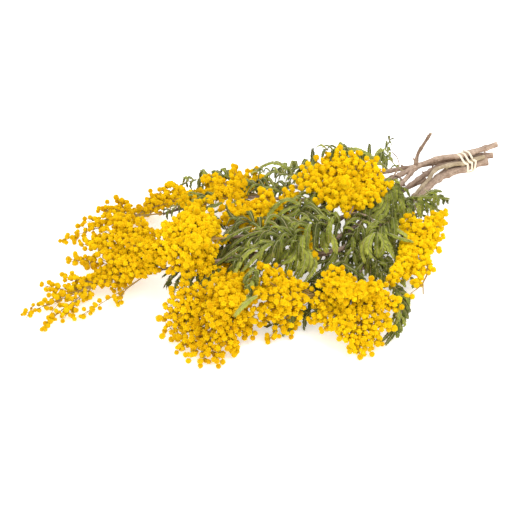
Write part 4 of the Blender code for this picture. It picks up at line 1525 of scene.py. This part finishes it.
def bark_finish(name, light, middle, dark, crack):
    """Streaked bark with pale worn patches and fine cracks along it, darker at the young end."""
    made, tree, shader = new_finish(name, roughness=0.82, Specular_IOR_Level=0.25)
    grain = paint_of(tree, "grain", "Vector")
    tone = paint_of(tree, "tone")
    stretched = add_node(tree, "ShaderNodeMapping", {"Vector": grain, "Scale": (1.0, 1.0, 0.12)})
    along = stretched.outputs["Vector"]
    streaks = mottled(tree, along, middle, dark, patches=420.0, spread=0.28)
    worn = mottled(tree, grain, streaks["Colour"], light, patches=75.0, spread=0.32)["Colour"]
    shade = blend_colours(tree, tone, worn, multiplied(tree, worn, crack))
    fine = noise_of(tree, along, 1900.0, detail=4.0)
    lines = ramp(tree, fine, [(0.36, crack), (0.48, colour(1, 1, 1))])
    bloomed = dusted(tree, multiplied(tree, shade, lines), bloom=colour(0.74, 0.62, 0.54), amount=0.35)
    tree.links.new(bloomed, shader.inputs["Base Color"])
    rough = add_node(tree, "ShaderNodeMapRange", {
        "Value": streaks["Mask"], "To Min": 0.72, "To Max": 0.95,
    })
    tree.links.new(rough.outputs["Result"], shader.inputs["Roughness"])
    height = two_numbers(tree, "ADD", fine, streaks["Mask"])
    add_relief(tree, shader, height, strength=0.6, depth=0.0005)
    return made


def cut_wood_finish():
    """A cut end: pale wood with fine darker specks."""
    made, tree, shader = new_finish("cut wood", roughness=0.9)
    place = object_place(tree)
    specks = mottled(tree, place, colour(0.52, 0.38, 0.23), colour(0.30, 0.20, 0.12), patches=900.0,
                     spread=0.3)
    tree.links.new(specks["Colour"], shader.inputs["Base Color"])
    add_relief(tree, shader, specks["Mask"], strength=0.5, depth=0.0003)
    return made


def rubber_finish():
    """Cream rubber with faint tan patches and a little bloom."""
    made, tree, shader = new_finish("natural rubber", roughness=0.5, Specular_IOR_Level=0.4)
    grain = paint_of(tree, "grain", "Vector")
    patchy = mottled(tree, grain, colour(0.86, 0.74, 0.56), colour(0.74, 0.58, 0.40), patches=300.0,
                     spread=0.2)
    bloomed = dusted(tree, patchy["Colour"], bloom=colour(0.95, 0.90, 0.82), amount=0.4)
    tree.links.new(bloomed, shader.inputs["Base Color"])
    add_relief(tree, shader, noise_of(tree, grain, 1400.0), strength=0.25, depth=0.0002)
    return made


def floor_finish():
    made, tree, shader = new_finish("pale floor", roughness=0.9)
    place = object_place(tree)
    patchy = mottled(tree, place, colour(0.92, 0.92, 0.915), colour(0.905, 0.905, 0.90), patches=3.0,
                     spread=0.2)
    tree.links.new(patchy["Colour"], shader.inputs["Base Color"])
    tree.links.new(patchy["Colour"], shader.inputs["Emission Color"])
    shader.inputs["Emission Strength"].default_value = FLOOR_GLOW
    return made


# Setting

def lay_floor():
    half = FLOOR_SIDE / 2
    mesh = bpy.data.meshes.new("floor")
    corners = [(-half, -half, 0), (half, -half, 0), (half, half, 0), (-half, half, 0)]
    mesh.from_pydata(corners, [], [(0, 1, 2, 3)])
    mesh.materials.append(floor_finish())
    floor = put_in_scene("floor", mesh)


def aim(placed, place, heading):
    placed.location = place
    placed.rotation_euler = heading.to_track_quat("-Z", "Y").to_euler()


def add_soft_light(name, place, size, watts, shade):
    data = bpy.data.lights.new(name, "AREA")
    data.shape = "DISK"
    data.size = size
    data.energy = watts
    data.color = shade
    aim(put_in_scene(name, data), place, Vector(LOOKS_AT) - Vector(place))


def set_daylight(strength):
    world = bpy.data.worlds.new("studio")
    world.use_nodes = True
    sky = world.node_tree.nodes["Background"]
    sky.inputs["Color"].default_value = colour(1.0, 1.0, 1.0)
    sky.inputs["Strength"].default_value = strength
    bpy.context.scene.world = world


def place_camera():
    level = math.cos(CAMERA_ELEVATION)
    away = Vector((math.sin(CAMERA_AZIMUTH) * level, -math.cos(CAMERA_AZIMUTH) * level,
                   math.sin(CAMERA_ELEVATION)))
    data = bpy.data.cameras.new("camera")
    data.angle = 2 * math.atan(WIDTH_SEEN / 2 / CAMERA_DISTANCE)
    camera = put_in_scene("camera", data)
    aim(camera, Vector(LOOKS_AT) + away * CAMERA_DISTANCE, -away)
    bpy.context.scene.camera = camera


place_camera()
bpy.context.scene.view_settings.view_transform = "Standard"
groups = {"mottle": make_mottle_group(), "bloom": make_bloom_group()}
materials = {
    "puff": puff_finish(),
    "leaf": leaf_finish(),
    "leaf rib": rib_finish(),
    "twig": twig_finish(),
    "bark": bark_finish("bark", *BARK_SHADES),
    "green bark": bark_finish("green bark", *GREEN_BARK_SHADES),
    "cut wood": cut_wood_finish(),
    "rubber": rubber_finish(),
}
fine_pattern = head_pattern(subdivisions=2, valley=VALLEY)
plain_pattern = head_pattern(subdivisions=1, valley=PLAIN_VALLEY)

for stem in STEMS:
    grow_stem(stem)
elastic_band()

panicles = [grow_panicle(name) for name in PANICLES]
heads = [head for panicle in panicles for head in panicle.heads]
spread_heads(heads)
find_open_heads(heads)
for panicle in panicles:
    panicle.heads = [head for head in panicle.heads if not head["hidden"]]
    panicle_piece(panicle)

for leaf in LEAVES:
    leaf_piece(leaf)

lay_floor()
set_daylight(DAYLIGHT)
for light in SOFT_LIGHTS:
    add_soft_light(*light)
